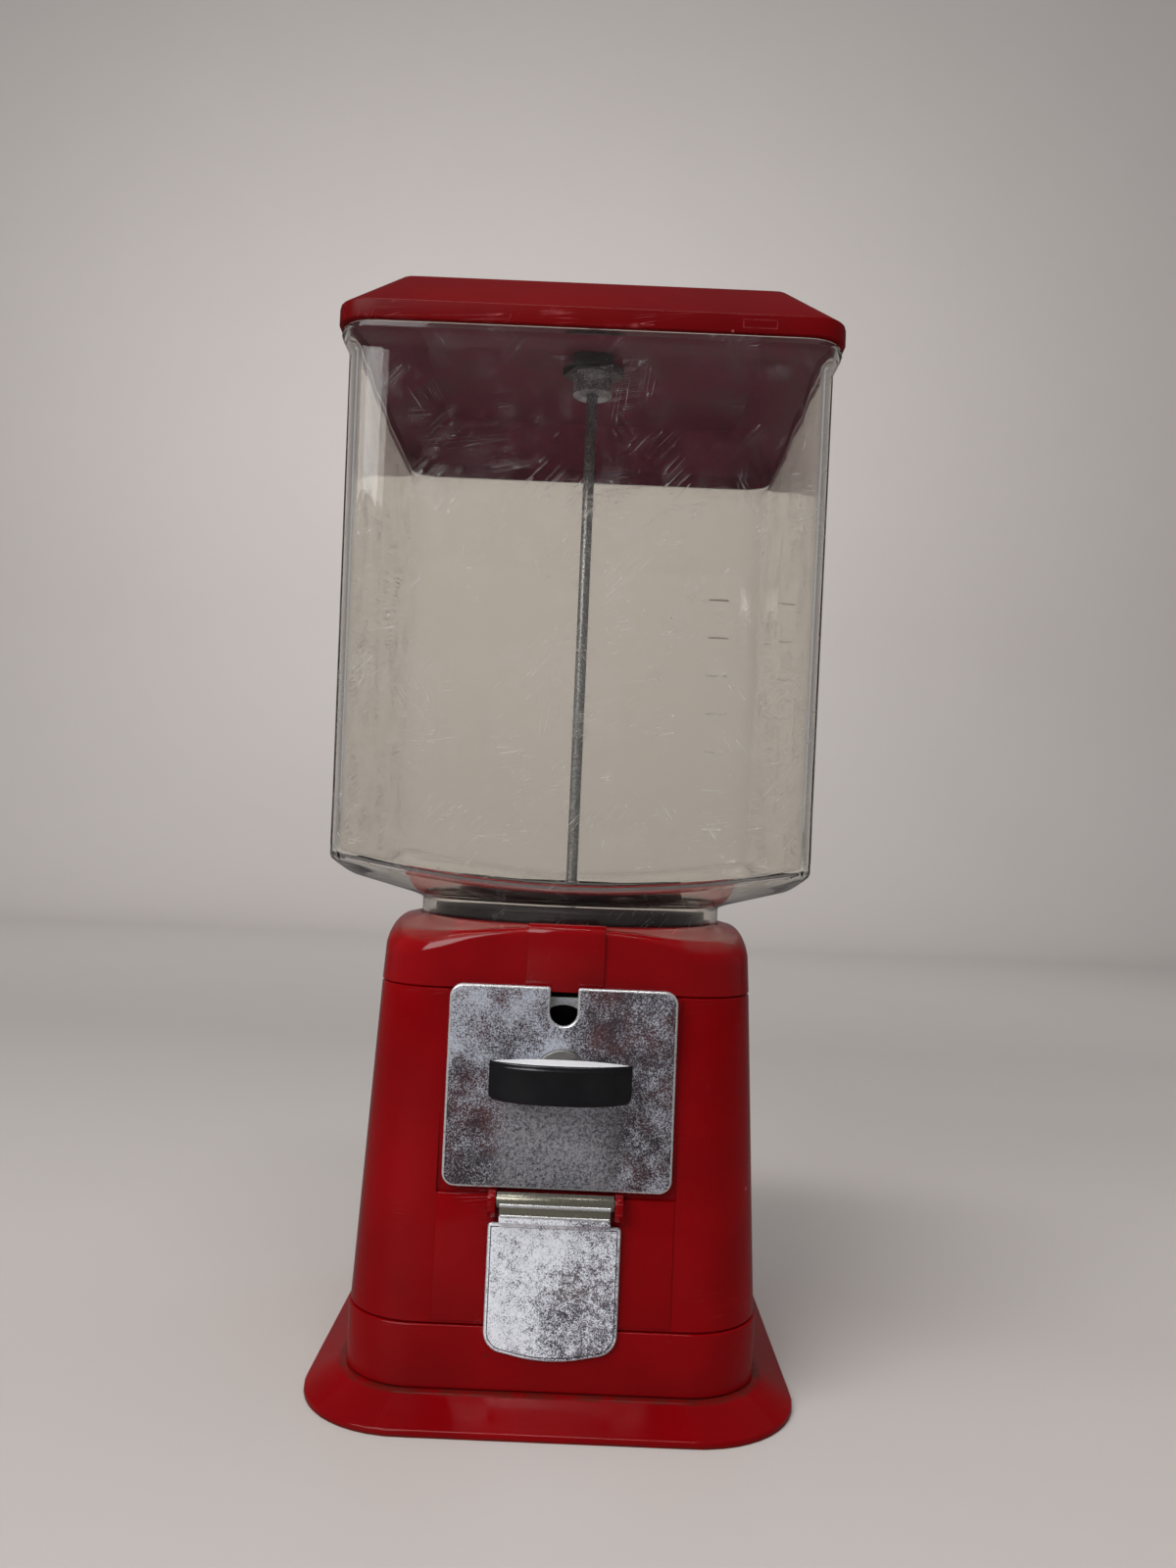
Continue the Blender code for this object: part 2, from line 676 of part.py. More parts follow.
def hopper_housing():
    wall = SHELL_WALL
    rings = [square_ring(BODY_TOP_HALF, BODY_TOP_CORNER, HOUSING_BOTTOM)]
    rings += [shoulder_ring(share) for share in SHOULDER_SHARES]
    rings.append(square_ring(THROAT_RADIUS + wall, THROAT_RADIUS + wall, SHOULDER_TOP))
    rings.append(square_ring(THROAT_RADIUS, THROAT_RADIUS, SHOULDER_TOP))
    throat_bottom = GASKET_BOTTOM
    rings.append(square_ring(THROAT_RADIUS, THROAT_RADIUS, throat_bottom))
    inner = BODY_TOP_HALF - BODY_LEDGE - wall
    rings.append(square_ring(inner - wall / 2, BODY_TOP_CORNER + wall, throat_bottom - wall))
    rings.append(square_ring(inner, BODY_TOP_CORNER - wall, LEDGE_Z))
    rings.append(square_ring(inner, BODY_TOP_CORNER - wall, HOUSING_BOTTOM))
    made = loft("hopper_housing", rings, RED_PLASTIC, closed=True)
    ledge = turned("ledge_in_housing", [
        (LEDGE_RADIUS, LEDGE_Z), (LEDGE_RADIUS, LEDGE_Z + LEDGE_THICKNESS),
        (inner + wall / 2, LEDGE_Z + LEDGE_THICKNESS), (inner + wall / 2, LEDGE_Z)], RED_PLASTIC)
    join(made, ledge)
    join(made, front_strip())
    return made


def front_strip():
    """The raised strip that runs up the middle of the housing's front and over its edge."""
    outline = [(-BODY_TOP_HALF - STRIP_PROUD / 2, HOUSING_BOTTOM)]
    for share in SHOULDER_SHARES:
        _, y, z = shoulder_point(0, -BODY_TOP_HALF + BODY_LEDGE, share)
        angle = math.radians(90 * share)
        outline.append((y - STRIP_PROUD * math.cos(angle), z + STRIP_PROUD * math.sin(angle)))
    outline.append((-THROAT_RADIUS - SHELL_WALL, SHOULDER_TOP + EMBED))
    outline.append((-THROAT_RADIUS - SHELL_WALL, SHOULDER_TOP - SHELL_WALL))
    wall = -BODY_TOP_HALF + BODY_LEDGE + SHELL_WALL / 2
    outline.append((wall, LEDGE_Z))
    outline.append((wall, HOUSING_BOTTOM))
    return from_side("front_strip", outline, STRIP_HALF_WIDTH, RED_PLASTIC)


# Globe and lid

def cone_height(radius):
    """Height of the globe's conical underside at this radius."""
    return COLLAR_TOP + CONE_SLOPE * (radius - COLLAR_RADIUS)


def globe_rings(inset, bottom, cone_shift, top, flange_bottom):
    """Rings of the globe's outer side, or of its inner side when inset by the wall."""
    collar = COLLAR_RADIUS - inset
    foot, head = GLOBE_FOOT_HALF - inset, GLOBE_HEAD_HALF - inset
    corner = GLOBE_CORNER - inset / 2
    flare = GLOBE_FLANGE_HALF - GLOBE_HEAD_HALF
    rings = [
        square_ring(collar, collar, bottom),
        square_ring(collar, collar, COLLAR_TOP + cone_shift - COLLAR_FILLET),
        square_ring(collar + COLLAR_FILLET, collar + COLLAR_FILLET, cone_height(collar) + cone_shift),
        square_ring(foot, corner, 0, lambda reach: cone_height(reach) + cone_shift),
        square_ring(foot, corner, GLOBE_CREASE_Z),
        square_ring(head, corner, COVE_Z),
    ]
    for share in EASE_SHARES[1:]:
        half = head + flare * share ** 2
        rings.append(square_ring(half, corner + flare * share, mix(COVE_Z, flange_bottom, share)))
    rings.append(square_ring(head + flare, corner + flare, top))
    return rings


def globe():
    outer = globe_rings(0, COLLAR_BOTTOM, 0, GLOBE_TOP, GLOBE_TOP - GLOBE_FLANGE)
    inner = globe_rings(GLOBE_WALL, COLLAR_BOTTOM, GLOBE_WALL, GLOBE_TOP, GLOBE_TOP - GLOBE_FLANGE)
    return loft("globe", outer + list(reversed(inner)), CLEAR_PLASTIC, closed=True)


def globe_gasket():
    outer = COLLAR_RADIUS
    return turned("globe_gasket", [
        (outer - GASKET_WIDTH, GASKET_BOTTOM), (outer - GASKET_WIDTH, GASKET_BOTTOM + GASKET_THICKNESS),
        (outer, GASKET_BOTTOM + GASKET_THICKNESS), (outer, GASKET_BOTTOM)], GREY_RUBBER)


def lid():
    """A rim band, four slopes and a flat top, hollow underneath."""
    wall = SHELL_WALL
    edge = wall / 4
    rings = [
        square_ring(LID_TOP_HALF - wall, LID_TOP_CORNER - wall / 2, LID_TOP - wall),
        square_ring(LID_HALF - wall, LID_CORNER - wall, LID_SLOPE_Z - edge),
        square_ring(LID_HALF - wall, LID_CORNER - wall, LID_BOTTOM),
        square_ring(LID_HALF - edge, LID_CORNER - edge, LID_BOTTOM),
        square_ring(LID_HALF, LID_CORNER, LID_BOTTOM + edge),
        square_ring(LID_HALF, LID_CORNER, LID_SLOPE_Z - edge),
        square_ring(LID_HALF - edge, LID_CORNER - edge, LID_SLOPE_Z + edge),
        square_ring(LID_TOP_HALF + edge, LID_TOP_CORNER + edge, LID_TOP - edge),
        square_ring(LID_TOP_HALF - edge, LID_TOP_CORNER - edge, LID_TOP),
    ]
    made = loft("lid", rings, RED_PLASTIC)
    return cut(made, rod("lock_hole_in_lid", LOCK_BARREL_RADIUS + SEAT_GAP, (0, 0, LID_TOP - OVERRUN),
                         (0, 0, LID_TOP + OVERRUN), RED_PLASTIC))


def lock_housing():
    """A flanged barrel: the plug turns in its upper bore, and the rod comes up its lower one."""
    bore, low_bore = PLUG_RADIUS + SEAT_GAP, ROD_RADIUS + RUN_GAP
    shelf = PLUG_BOTTOM - RUN_GAP
    return turned("lock_housing", [
        (low_bore, LOCK_BOTTOM), (low_bore, shelf), (bore, shelf), (bore, LOCK_TOP),
        (LOCK_FLANGE_RADIUS - LOCK_FLANGE / 2, LOCK_TOP),
        (LOCK_FLANGE_RADIUS, LOCK_TOP - LOCK_FLANGE / 2), (LOCK_FLANGE_RADIUS, LOCK_TOP - LOCK_FLANGE),
        (LOCK_BARREL_RADIUS, LOCK_TOP - LOCK_FLANGE), (LOCK_BARREL_RADIUS, LOCK_BOTTOM)],
        WORN_CHROME, steps=SMALL_STEPS)


def lock_plug():
    made = rod("lock_plug", PLUG_RADIUS, (0, 0, PLUG_BOTTOM), (0, 0, PLUG_TOP), BRASS)
    slot = box("keyway", (-KEYWAY_WIDTH / 2, -KEYWAY_LENGTH / 2, PLUG_TOP - KEYWAY_DEPTH),
               (KEYWAY_WIDTH / 2, KEYWAY_LENGTH / 2, PLUG_TOP + OVERRUN), BRASS)
    return cut(made, slot)


def lock_nut():
    top = LID_TOP - SHELL_WALL - SEAT_GAP
    made = prism("lock_nut", hexagon(LOCK_NUT_ACROSS), LOCK_NUT_THICKNESS, ZINC_STEEL,
                 (0, 0, top - LOCK_NUT_THICKNESS / 2))
    return cut(made, rod("lock_nut_bore", LOCK_BARREL_RADIUS + SEAT_GAP, (0, 0, top - LOCK_DEPTH),
                         (0, 0, top + OVERRUN), ZINC_STEEL))


# Rod

def center_rod():
    return rod("center_rod", ROD_RADIUS, (0, 0, ROD_BOTTOM), (0, 0, ROD_TOP), ZINC_STEEL)


def rod_washer():
    bore = ROD_RADIUS + SEAT_GAP
    bottom = ROD_WASHER_TOP - ROD_WASHER_THICKNESS
    return turned("rod_washer", [(bore, bottom), (bore, ROD_WASHER_TOP),
                                 (ROD_WASHER_RADIUS, ROD_WASHER_TOP), (ROD_WASHER_RADIUS, bottom)],
                  ZINC_STEEL, steps=SMALL_STEPS)


def rod_nut():
    middle = ROD_NUT_TOP - ROD_NUT_THICKNESS / 2
    made = prism("rod_nut", hexagon(ROD_NUT_ACROSS), ROD_NUT_THICKNESS, ZINC_STEEL, (0, 0, middle))
    return cut(made, rod("rod_nut_bore", ROD_RADIUS + SEAT_GAP, (0, 0, -OVERRUN),
                         (0, 0, ROD_NUT_TOP + OVERRUN), ZINC_STEEL))


# Wheel housing and what is in it

def wheel_housing():
    """The black cup: a neck up into the globe, a flange on the housing's ledge and a well for the wheel."""
    neck_inner = CUP_NECK_RADIUS - CUP_WALL
    well_inner = CUP_WELL_RADIUS - CUP_WALL
    made = turned("wheel_housing", [
        (neck_inner, CUP_TOP), (CUP_NECK_RADIUS, CUP_TOP), (CUP_NECK_RADIUS, CUP_FLANGE_TOP),
        (CUP_FLANGE_RADIUS, CUP_FLANGE_TOP), (CUP_FLANGE_RADIUS, CUP_FLANGE_BOTTOM),
        (CUP_WELL_RADIUS, CUP_FLANGE_BOTTOM), (CUP_WELL_RADIUS, CUP_BOTTOM + CUP_RIM),
        (CUP_RIM_RADIUS, CUP_BOTTOM + CUP_RIM), (CUP_RIM_RADIUS, CUP_BOTTOM),
        (well_inner, CUP_BOTTOM), (well_inner, CUP_FLANGE_TOP - CUP_SHOULDER_DROP),
        (neck_inner, CUP_FLANGE_TOP)], BLACK_PLASTIC)
    return cut_floor_screw_holes(made, "rim", CUP_BOTTOM, CUP_BOTTOM + CUP_RIM)


def cut_floor_screw_holes(made, where, low, high):
    for i, (x, y) in enumerate(floor_screw_places()):
        cut(made, rod(f"screw_hole_in_{where}_{i}", SCREW_RADIUS + SEAT_GAP, (x, y, low - OVERRUN),
                      (x, y, high + OVERRUN), BLACK_PLASTIC, TINY_STEPS))
    return made


def hopper_cover():
    """A disc on the cup's neck: gumballs fall through its open bays, and a closed one covers the outlet."""
    bottom = CUP_TOP + SEAT_GAP
    made = turned("hopper_cover", [
        (ROD_RADIUS + SEAT_GAP, bottom), (ROD_RADIUS + SEAT_GAP, bottom + COVER_THICKNESS),
        (CUP_NECK_RADIUS - CUP_WALL / 2, bottom + COVER_THICKNESS),
        (CUP_NECK_RADIUS, bottom + COVER_THICKNESS / 2),
        (CUP_NECK_RADIUS, bottom)], BLACK_PLASTIC)
    window = window_outline()
    for i in range(COVER_OPEN_BAYS):
        angle = 360 / COVER_WINDOWS * (i + COVER_TURN_SHARE)
        cut(made, prism(f"cover_window_{i}", window, COVER_THICKNESS + 2 * OVERRUN, BLACK_PLASTIC,
                        (0, 0, bottom), (0, 0, angle)))
    return made


def window_outline():
    """A sector between two ribs, drawn round +X."""
    half = 180 / COVER_WINDOWS
    far, near, rib = COVER_WINDOW_RADIUS, COVER_HUB_RADIUS, COVER_RIB_HALF_WIDTH
    far_angle = half - math.degrees(math.asin(rib / far))
    near_angle = half - math.degrees(math.asin(rib / near))
    return arc((0, 0), far, -far_angle, far_angle, 3 * ARC_STEPS) + arc((0, 0), near, near_angle, -near_angle)


def wheel_floor():
    """The pan under the wheel. Its plateau closes the pockets, except over the outlet."""
    bore = BUSH_RADIUS + SEAT_GAP
    side, wall = PLATEAU_RADIUS, PLATEAU_WALL
    made = turned("wheel_floor", [
        (bore, PLATEAU_TOP - wall), (bore, PLATEAU_TOP), (side, PLATEAU_TOP), (side, FLOOR_TOP),
        (CUP_RIM_RADIUS, FLOOR_TOP), (CUP_RIM_RADIUS, FLOOR_BOTTOM), (side - wall, FLOOR_BOTTOM),
        (side - wall, PLATEAU_TOP - wall)], BLACK_PLASTIC)
    cut(made, rod("outlet", OUTLET_RADIUS, (0, -POCKET_CIRCLE, FLOOR_BOTTOM - OVERRUN),
                  (0, -POCKET_CIRCLE, PLATEAU_TOP + OVERRUN), BLACK_PLASTIC))
    gear_room = PINION_PITCH_RADIUS + TOOTH_ADDENDUM + 3 * RUN_GAP
    cut(made, box("pinion_slot", (-gear_room, -CUP_RIM_RADIUS - OVERRUN, FLOOR_BOTTOM - OVERRUN),
                  (gear_room, -PLATEAU_RADIUS - SEAT_GAP, FLOOR_TOP + OVERRUN), BLACK_PLASTIC))
    for side in (-1, 1):
        start = (side * CHUTE_SCREW_X, -POCKET_CIRCLE, PLATEAU_TOP - PLATEAU_WALL - OVERRUN)
        end = (side * CHUTE_SCREW_X, -POCKET_CIRCLE, chute_screw_tip() + SEAT_GAP)
        cut(made, rod(f"chute_screw_hole_in_floor_{side}", SCREW_RADIUS + SEAT_GAP, start, end,
                      BLACK_PLASTIC, TINY_STEPS))
    return cut_floor_screw_holes(made, "floor", FLOOR_BOTTOM, FLOOR_TOP)


def chute_screw_tip():
    return CHUTE_TOP - CHUTE_TAB_THICKNESS - SEAT_GAP + CHUTE_SCREW_LENGTH


def floor_screw_places():
    for i in range(FLOOR_SCREWS):
        angle = math.radians(FIRST_FLOOR_SCREW_ANGLE + 360 / FLOOR_SCREWS * i)
        yield FLOOR_SCREW_CIRCLE * math.cos(angle), FLOOR_SCREW_CIRCLE * math.sin(angle)


def wheel_bush():
    """The sleeve round the rod that the wheel turns on."""
    bore = ROD_RADIUS + SEAT_GAP
    bottom = PLATEAU_TOP - PLATEAU_WALL - SEAT_GAP
    flange = bottom - PLATEAU_WALL
    return turned("wheel_bush", [
        (bore, flange), (bore, WHEEL_TOP), (BUSH_RADIUS, WHEEL_TOP), (BUSH_RADIUS, bottom),
        (BUSH_FLANGE_RADIUS, bottom), (BUSH_FLANGE_RADIUS, flange)], BRASS, steps=SMALL_STEPS)


def wheel_collar():
    """A collar on the rod that keeps the wheel down."""
    bore = ROD_RADIUS + SEAT_GAP
    bottom = WHEEL_TOP + WHEEL_HUB_HEIGHT + RUN_GAP
    return turned("wheel_collar", [
        (bore, bottom), (bore, bottom + WHEEL_COLLAR_THICKNESS),
        (WHEEL_COLLAR_RADIUS, bottom + WHEEL_COLLAR_THICKNESS), (WHEEL_COLLAR_RADIUS, bottom)],
        ZINC_STEEL, steps=SMALL_STEPS)


def product_wheel():
    """Six pockets, a hub on the bush, and a ring of crown teeth that points down."""
    bore = BUSH_RADIUS + RUN_GAP / 2
    made = turned("product_wheel", [
        (bore, WHEEL_BOTTOM), (bore, WHEEL_TOP + WHEEL_HUB_HEIGHT),
        (WHEEL_HUB_RADIUS, WHEEL_TOP + WHEEL_HUB_HEIGHT), (WHEEL_HUB_RADIUS, WHEEL_TOP),
        (WHEEL_RADIUS, WHEEL_TOP), (WHEEL_RADIUS, WHEEL_BOTTOM)], WHITE_NYLON)
    join(made, crown_ring())
    for i in range(POCKETS):
        angle = math.radians(360 / POCKETS * i - 90)
        x, y = POCKET_CIRCLE * math.cos(angle), POCKET_CIRCLE * math.sin(angle)
        cut(made, rod(f"pocket_{i}", POCKET_RADIUS, (x, y, WHEEL_BOTTOM - OVERRUN),
                      (x, y, WHEEL_TOP + OVERRUN), WHITE_NYLON))
    return made


def tooth_angles(teeth, first_space):
    """Angles of each tooth: root, tip, tip and root, in order round the gear."""
    pitch = 360 / teeth
    for i in range(teeth):
        middle = pitch * (i + first_space)
        for share, at_tip in ((-TOOTH_ROOT_SHARE, False), (-TOOTH_TIP_SHARE, True),
                              (TOOTH_TIP_SHARE, True), (TOOTH_ROOT_SHARE, False)):
            yield middle + pitch * share, at_tip


def crown_ring():
    """A tooth stands straight in front of the axis, where the pinion has a space."""
    top = WHEEL_BOTTOM + EMBED
    rings = []
    for angle, at_tip in tooth_angles(CROWN_TEETH, 0):
        bottom = MESH_Z - TOOTH_ADDENDUM if at_tip else MESH_Z + TOOTH_DEDENDUM
        turn = math.radians(angle - 90)
        rings.append([
            (r * math.cos(turn), r * math.sin(turn), z)
            for r, z in ((CROWN_INNER, top), (CROWN_OUTER, top),
                         (CROWN_OUTER, bottom), (CROWN_INNER, bottom))
        ])
    return loft("crown_ring", rings, WHITE_NYLON, closed=True)


# Coin mechanism

def plate_outline():
    half, corner, notch = PLATE_HALF_WIDTH, PLATE_CORNER, NOTCH_HALF_WIDTH
    low, high = PLATE_BOTTOM, PLATE_TOP
    outline = arc((-half + corner, low + corner), corner, 180, 270)
    outline += arc((half - corner, low + corner), corner, 270, 360)
    outline += arc((half - corner, high - corner), corner, 0, 90)
    outline += [(notch, high)]
    outline += arc((0, high - NOTCH_DEPTH + notch), notch, 0, -180, 2 * ARC_STEPS)
    outline += [(-notch, high)]
    outline += arc((-half + corner, high - corner), corner, 90, 180)
    return outline


def mech_faceplate():
    """The front plate, with a thumb notch, posts for the back plate and two fixing studs."""
    made = facing_front("mech_faceplate", plate_outline(), PLATE_THICKNESS, PLATE_BACK, WORN_CHROME)
    bevel(made, PLATE_EDGE)
    post_end = BACKPLATE_FRONT + SEAT_GAP
    for x, z, name in post_places():
        join(made, rod(f"post_{name}", POST_RADIUS, (x, -PLATE_BACK - EMBED, z),
                       (x, -post_end, z), WORN_CHROME, TINY_STEPS))
    for side in (-1, 1):
        join(made, rod(f"stud_{side}", STUD_RADIUS, (side * STUD_X, -PLATE_BACK - EMBED, SHAFT_Z),
                       (side * STUD_X, -PLATE_BACK + STUD_LENGTH, SHAFT_Z), WORN_CHROME, TINY_STEPS))
    cut(made, rod("shaft_hole_in_face", SHAFT_HOLE, (0, -PLATE_FRONT - OVERRUN, SHAFT_Z),
                  (0, -PLATE_BACK + OVERRUN, SHAFT_Z), WORN_CHROME))
    for x, z, name in post_places():
        tip = -(BACKPLATE_BACK + SCREW_LENGTH + SEAT_GAP)
        cut(made, rod(f"post_bore_{name}", SCREW_RADIUS + SEAT_GAP, (x, tip, z), (x, -post_end + OVERRUN, z),
                      WORN_CHROME, TINY_STEPS))
    return made


def post_places():
    for side, side_name in ((-1, "left"), (1, "right")):
        for level, level_name in ((-1, "lower"), (1, "upper")):
            yield side * POST_X, SHAFT_Z + level * POST_DROP, f"{level_name}_{side_name}"


def mech_backplate():
    half, tall, corner = BACKPLATE_HALF_WIDTH, BACKPLATE_HALF_HEIGHT, PLATE_CORNER / 2
    outline = []
    for x, z, start in ((-1, -1, 180), (1, -1, 270), (1, 1, 0), (-1, 1, 90)):
        centre = (x * (half - corner), SHAFT_Z + z * (tall - corner))
        outline += arc(centre, corner, start, start + 90)
    made = facing_front("mech_backplate", outline, BACKPLATE_THICKNESS, BACKPLATE_BACK, ZINC_STEEL)
    holes = [(0, SHAFT_Z, SHAFT_HOLE), (0, WINDOW_Z, WINDOW_RADIUS)]
    holes += [(x, z, SCREW_RADIUS + SEAT_GAP) for x, z, _ in post_places()]
    holes.append((PAWL_PIVOT_X, SHAFT_Z + PAWL_PIVOT_RISE, PAWL_PIN_RADIUS + SEAT_GAP))
    for i, (x, z, radius) in enumerate(holes):
        cut(made, rod(f"backplate_hole_{i}", radius, (x, -BACKPLATE_FRONT - OVERRUN, z),
                      (x, -BACKPLATE_BACK + OVERRUN, z), ZINC_STEEL, SMALL_STEPS))
    return made


def coin_wheel():
    """A disc with a pocket for one coin, open at its rim."""
    pocket = COIN_RADIUS + SEAT_GAP
    opening = math.degrees(math.asin(pocket / COIN_WHEEL_RADIUS))
    outline = arc((0, SHAFT_Z), COIN_WHEEL_RADIUS, 90 + opening, 450 - opening, LARGE_STEPS)
    outline += arc((0, SHAFT_Z + COIN_CENTRE), pocket, 0, -180, 3 * ARC_STEPS)
    made = facing_front("coin_wheel", outline, COIN_WHEEL_THICKNESS, COIN_WHEEL_BACK, ZINC_STEEL)
    return cut(made, shaft_bore("coin_wheel_bore", COIN_WHEEL_FRONT, COIN_WHEEL_BACK))


def shaft_bore(name, front, back):
    return rod(name, SHAFT_HOLE, (0, -front - OVERRUN, SHAFT_Z), (0, -back + OVERRUN, SHAFT_Z), ZINC_STEEL)


def mech_shaft():
    made = rod("mech_shaft", SHAFT_RADIUS, (0, -HANDLE_BACK - SEAT_GAP - HANDLE_SOCKET, SHAFT_Z),
               (0, -PINION_BACK, SHAFT_Z), ZINC_STEEL)
    pin_y = -PINION_BACK - PINION_WIDTH - PINION_HUB / 2
    return cut(made, rod("pin_hole_in_shaft", GEAR_PIN_RADIUS + SEAT_GAP,
                         (0, pin_y, SHAFT_Z - OVERRUN - SHAFT_RADIUS),
                         (0, pin_y, SHAFT_Z + OVERRUN + SHAFT_RADIUS), ZINC_STEEL, TINY_STEPS))


def drive_pinion():
    """Eight teeth that turn the crown, with a hub pinned to the shaft."""
    root = PINION_PITCH_RADIUS - TOOTH_DEDENDUM
    tip = PINION_PITCH_RADIUS + TOOTH_ADDENDUM
    outline = []
    for angle, at_tip in tooth_angles(PINION_TEETH, 0.5):
        turn = math.radians(angle + 90)
        reach = tip if at_tip else root
        outline.append((reach * math.cos(turn), SHAFT_Z + reach * math.sin(turn)))
    made = facing_front("drive_pinion", outline, PINION_WIDTH, PINION_BACK, BRASS)
    front = PINION_BACK + PINION_WIDTH
    join(made, rod("pinion_hub", PINION_HUB_RADIUS, (0, -front + EMBED, SHAFT_Z),
                   (0, -front - PINION_HUB, SHAFT_Z), BRASS))
    cut(made, shaft_bore("pinion_bore", front + PINION_HUB, PINION_BACK))
    pin_y = -front - PINION_HUB / 2
    return cut(made, rod("pin_hole_in_hub", GEAR_PIN_RADIUS + SEAT_GAP,
                         (0, pin_y, SHAFT_Z - 2 * PINION_HUB_RADIUS),
                         (0, pin_y, SHAFT_Z + 2 * PINION_HUB_RADIUS), BRASS, TINY_STEPS))


def gear_pin():
    pin_y = -PINION_BACK - PINION_WIDTH - PINION_HUB / 2
    return rod("gear_pin", GEAR_PIN_RADIUS, (0, pin_y, SHAFT_Z - PINION_HUB_RADIUS),
               (0, pin_y, SHAFT_Z + PINION_HUB_RADIUS), ZINC_STEEL, TINY_STEPS)


def ratchet_wheel():
    """Saw teeth that let the shaft turn one way only."""
    outline = []
    for i in range(RATCHET_TEETH):
        start = 90 + 360 / RATCHET_TEETH * i
        end = start + 360 / RATCHET_TEETH
        low = RATCHET_RADIUS * RATCHET_TOOTH_SHARE
        for angle, reach in ((start, RATCHET_RADIUS), (mix(start, end, TOOTH_TIP_SHARE), low)):
            turn = math.radians(angle)
            outline.append((reach * math.cos(turn), SHAFT_Z + reach * math.sin(turn)))
    made = facing_front("ratchet_wheel", outline, RATCHET_THICKNESS, RATCHET_BACK, ZINC_STEEL)
    return cut(made, shaft_bore("ratchet_bore", RATCHET_FRONT, RATCHET_BACK))


def pawl():
    """A bar from its pin to the ratchet's top, where its own weight holds it."""
    pivot_point = Vector((PAWL_PIVOT_X, SHAFT_Z + PAWL_PIVOT_RISE))
    reach = RATCHET_RADIUS + RUN_GAP + PAWL_TIP_WIDTH / 2
    angle = math.radians(PAWL_TIP_ANGLE)
    tip = Vector((0, SHAFT_Z)) + reach * Vector((math.cos(angle), math.sin(angle)))
    along = (tip - pivot_point).normalized()
    across = Vector((-along.y, along.x))
    eye = math.degrees(math.atan2(across.y, across.x))
    outline = arc(pivot_point, PAWL_EYE_RADIUS, eye, eye + 180, 2 * ARC_STEPS)
    outline += [tuple(tip - across * PAWL_TIP_WIDTH / 2), tuple(tip + across * PAWL_TIP_WIDTH / 2)]
    made = facing_front("pawl", outline, RATCHET_THICKNESS, RATCHET_BACK, ZINC_STEEL)
    x, z = pivot_point
    return cut(made, rod("pawl_bore", PAWL_PIN_RADIUS + SEAT_GAP, (x, -RATCHET_FRONT - OVERRUN, z),
                         (x, -RATCHET_BACK + OVERRUN, z), ZINC_STEEL, SMALL_STEPS))


def pawl_pin():
    """A headed pin, turned, with its head behind the pawl."""
    length = BACKPLATE_FRONT - RATCHET_BACK + SEAT_GAP
    return turned("pawl_pin", [
        (0, 0), (PAWL_PIN_RADIUS, 0), (PAWL_PIN_RADIUS, -length), (PAWL_PIN_HEAD_RADIUS, -length),
        (PAWL_PIN_HEAD_RADIUS, -length - PAWL_PIN_HEAD), (0, -length - PAWL_PIN_HEAD)], ZINC_STEEL, 16,
        (PAWL_PIVOT_X, -BACKPLATE_FRONT, SHAFT_Z + PAWL_PIVOT_RISE), (90, 0, 0))


def headed_screw(name, head_at, direction, length=SCREW_LENGTH):
    """A screw whose head starts at head_at and whose shank runs along direction."""
    made = turned(name, [
        (0, -SCREW_HEAD), (SCREW_HEAD_RADIUS * SCREW_CROWN_SHARE, -SCREW_HEAD), (SCREW_HEAD_RADIUS, 0),
        (SCREW_RADIUS, 0), (SCREW_RADIUS, length), (0, length)], ZINC_STEEL, TINY_STEPS, head_at)
    made.rotation_euler = Vector(direction).to_track_quat("Z", "Y").to_euler()
    return made


def mech_fasteners():
    for x, z, name in post_places():
        headed_screw(f"mech_screw_{name}", (x, -BACKPLATE_BACK + SEAT_GAP, z), (0, -1, 0))
    for side, name in ((-1, "left"), (1, "right")):
        front = BODY_TOP_HALF - SHELL_WALL + EMBED - SEAT_GAP
        made = facing_front(f"mech_nut_{name}", hexagon(STUD_NUT_ACROSS), STUD_NUT_THICKNESS,
                            front - STUD_NUT_THICKNESS, ZINC_STEEL)
        made.location.x, made.location.z = side * STUD_X, SHAFT_Z
        cut(made, rod(f"mech_nut_bore_{name}", STUD_RADIUS + SEAT_GAP, (side * STUD_X, -BAND_HALF, SHAFT_Z),
                      (side * STUD_X, -RATCHET_BACK + 2 * OVERRUN, SHAFT_Z), ZINC_STEEL, SMALL_STEPS))


def housing_fasteners():
    """Screws up through the floor into the cup's rim, and up through the chute's tabs into the floor."""
    for i, (x, y) in enumerate(floor_screw_places()):
        headed_screw(f"floor_screw_{i + 1}", (x, y, FLOOR_BOTTOM - SEAT_GAP), (0, 0, 1))
    for side, name in ((-1, "left"), (1, "right")):
        bottom = CHUTE_TOP - CHUTE_TAB_THICKNESS - SEAT_GAP
        headed_screw(f"chute_screw_{name}", (side * CHUTE_SCREW_X, -POCKET_CIRCLE, bottom), (0, 0, 1),
                     CHUTE_SCREW_LENGTH)


# Handle

def lens_outline(half_width, front, waist, back, steps):
    """Plan of the handle: two shallow arcs that meet at its tips. Points are (x, distance forward)."""
    points = []
    for side_front, direction in ((front, 1), (back, -1)):
        rise = side_front - waist
        for i in range(steps):
            share = i / steps
            x = direction * half_width * (1 - 2 * share)
            points.append((x, waist + rise * (1 - (x / half_width) ** 2)))
    return points


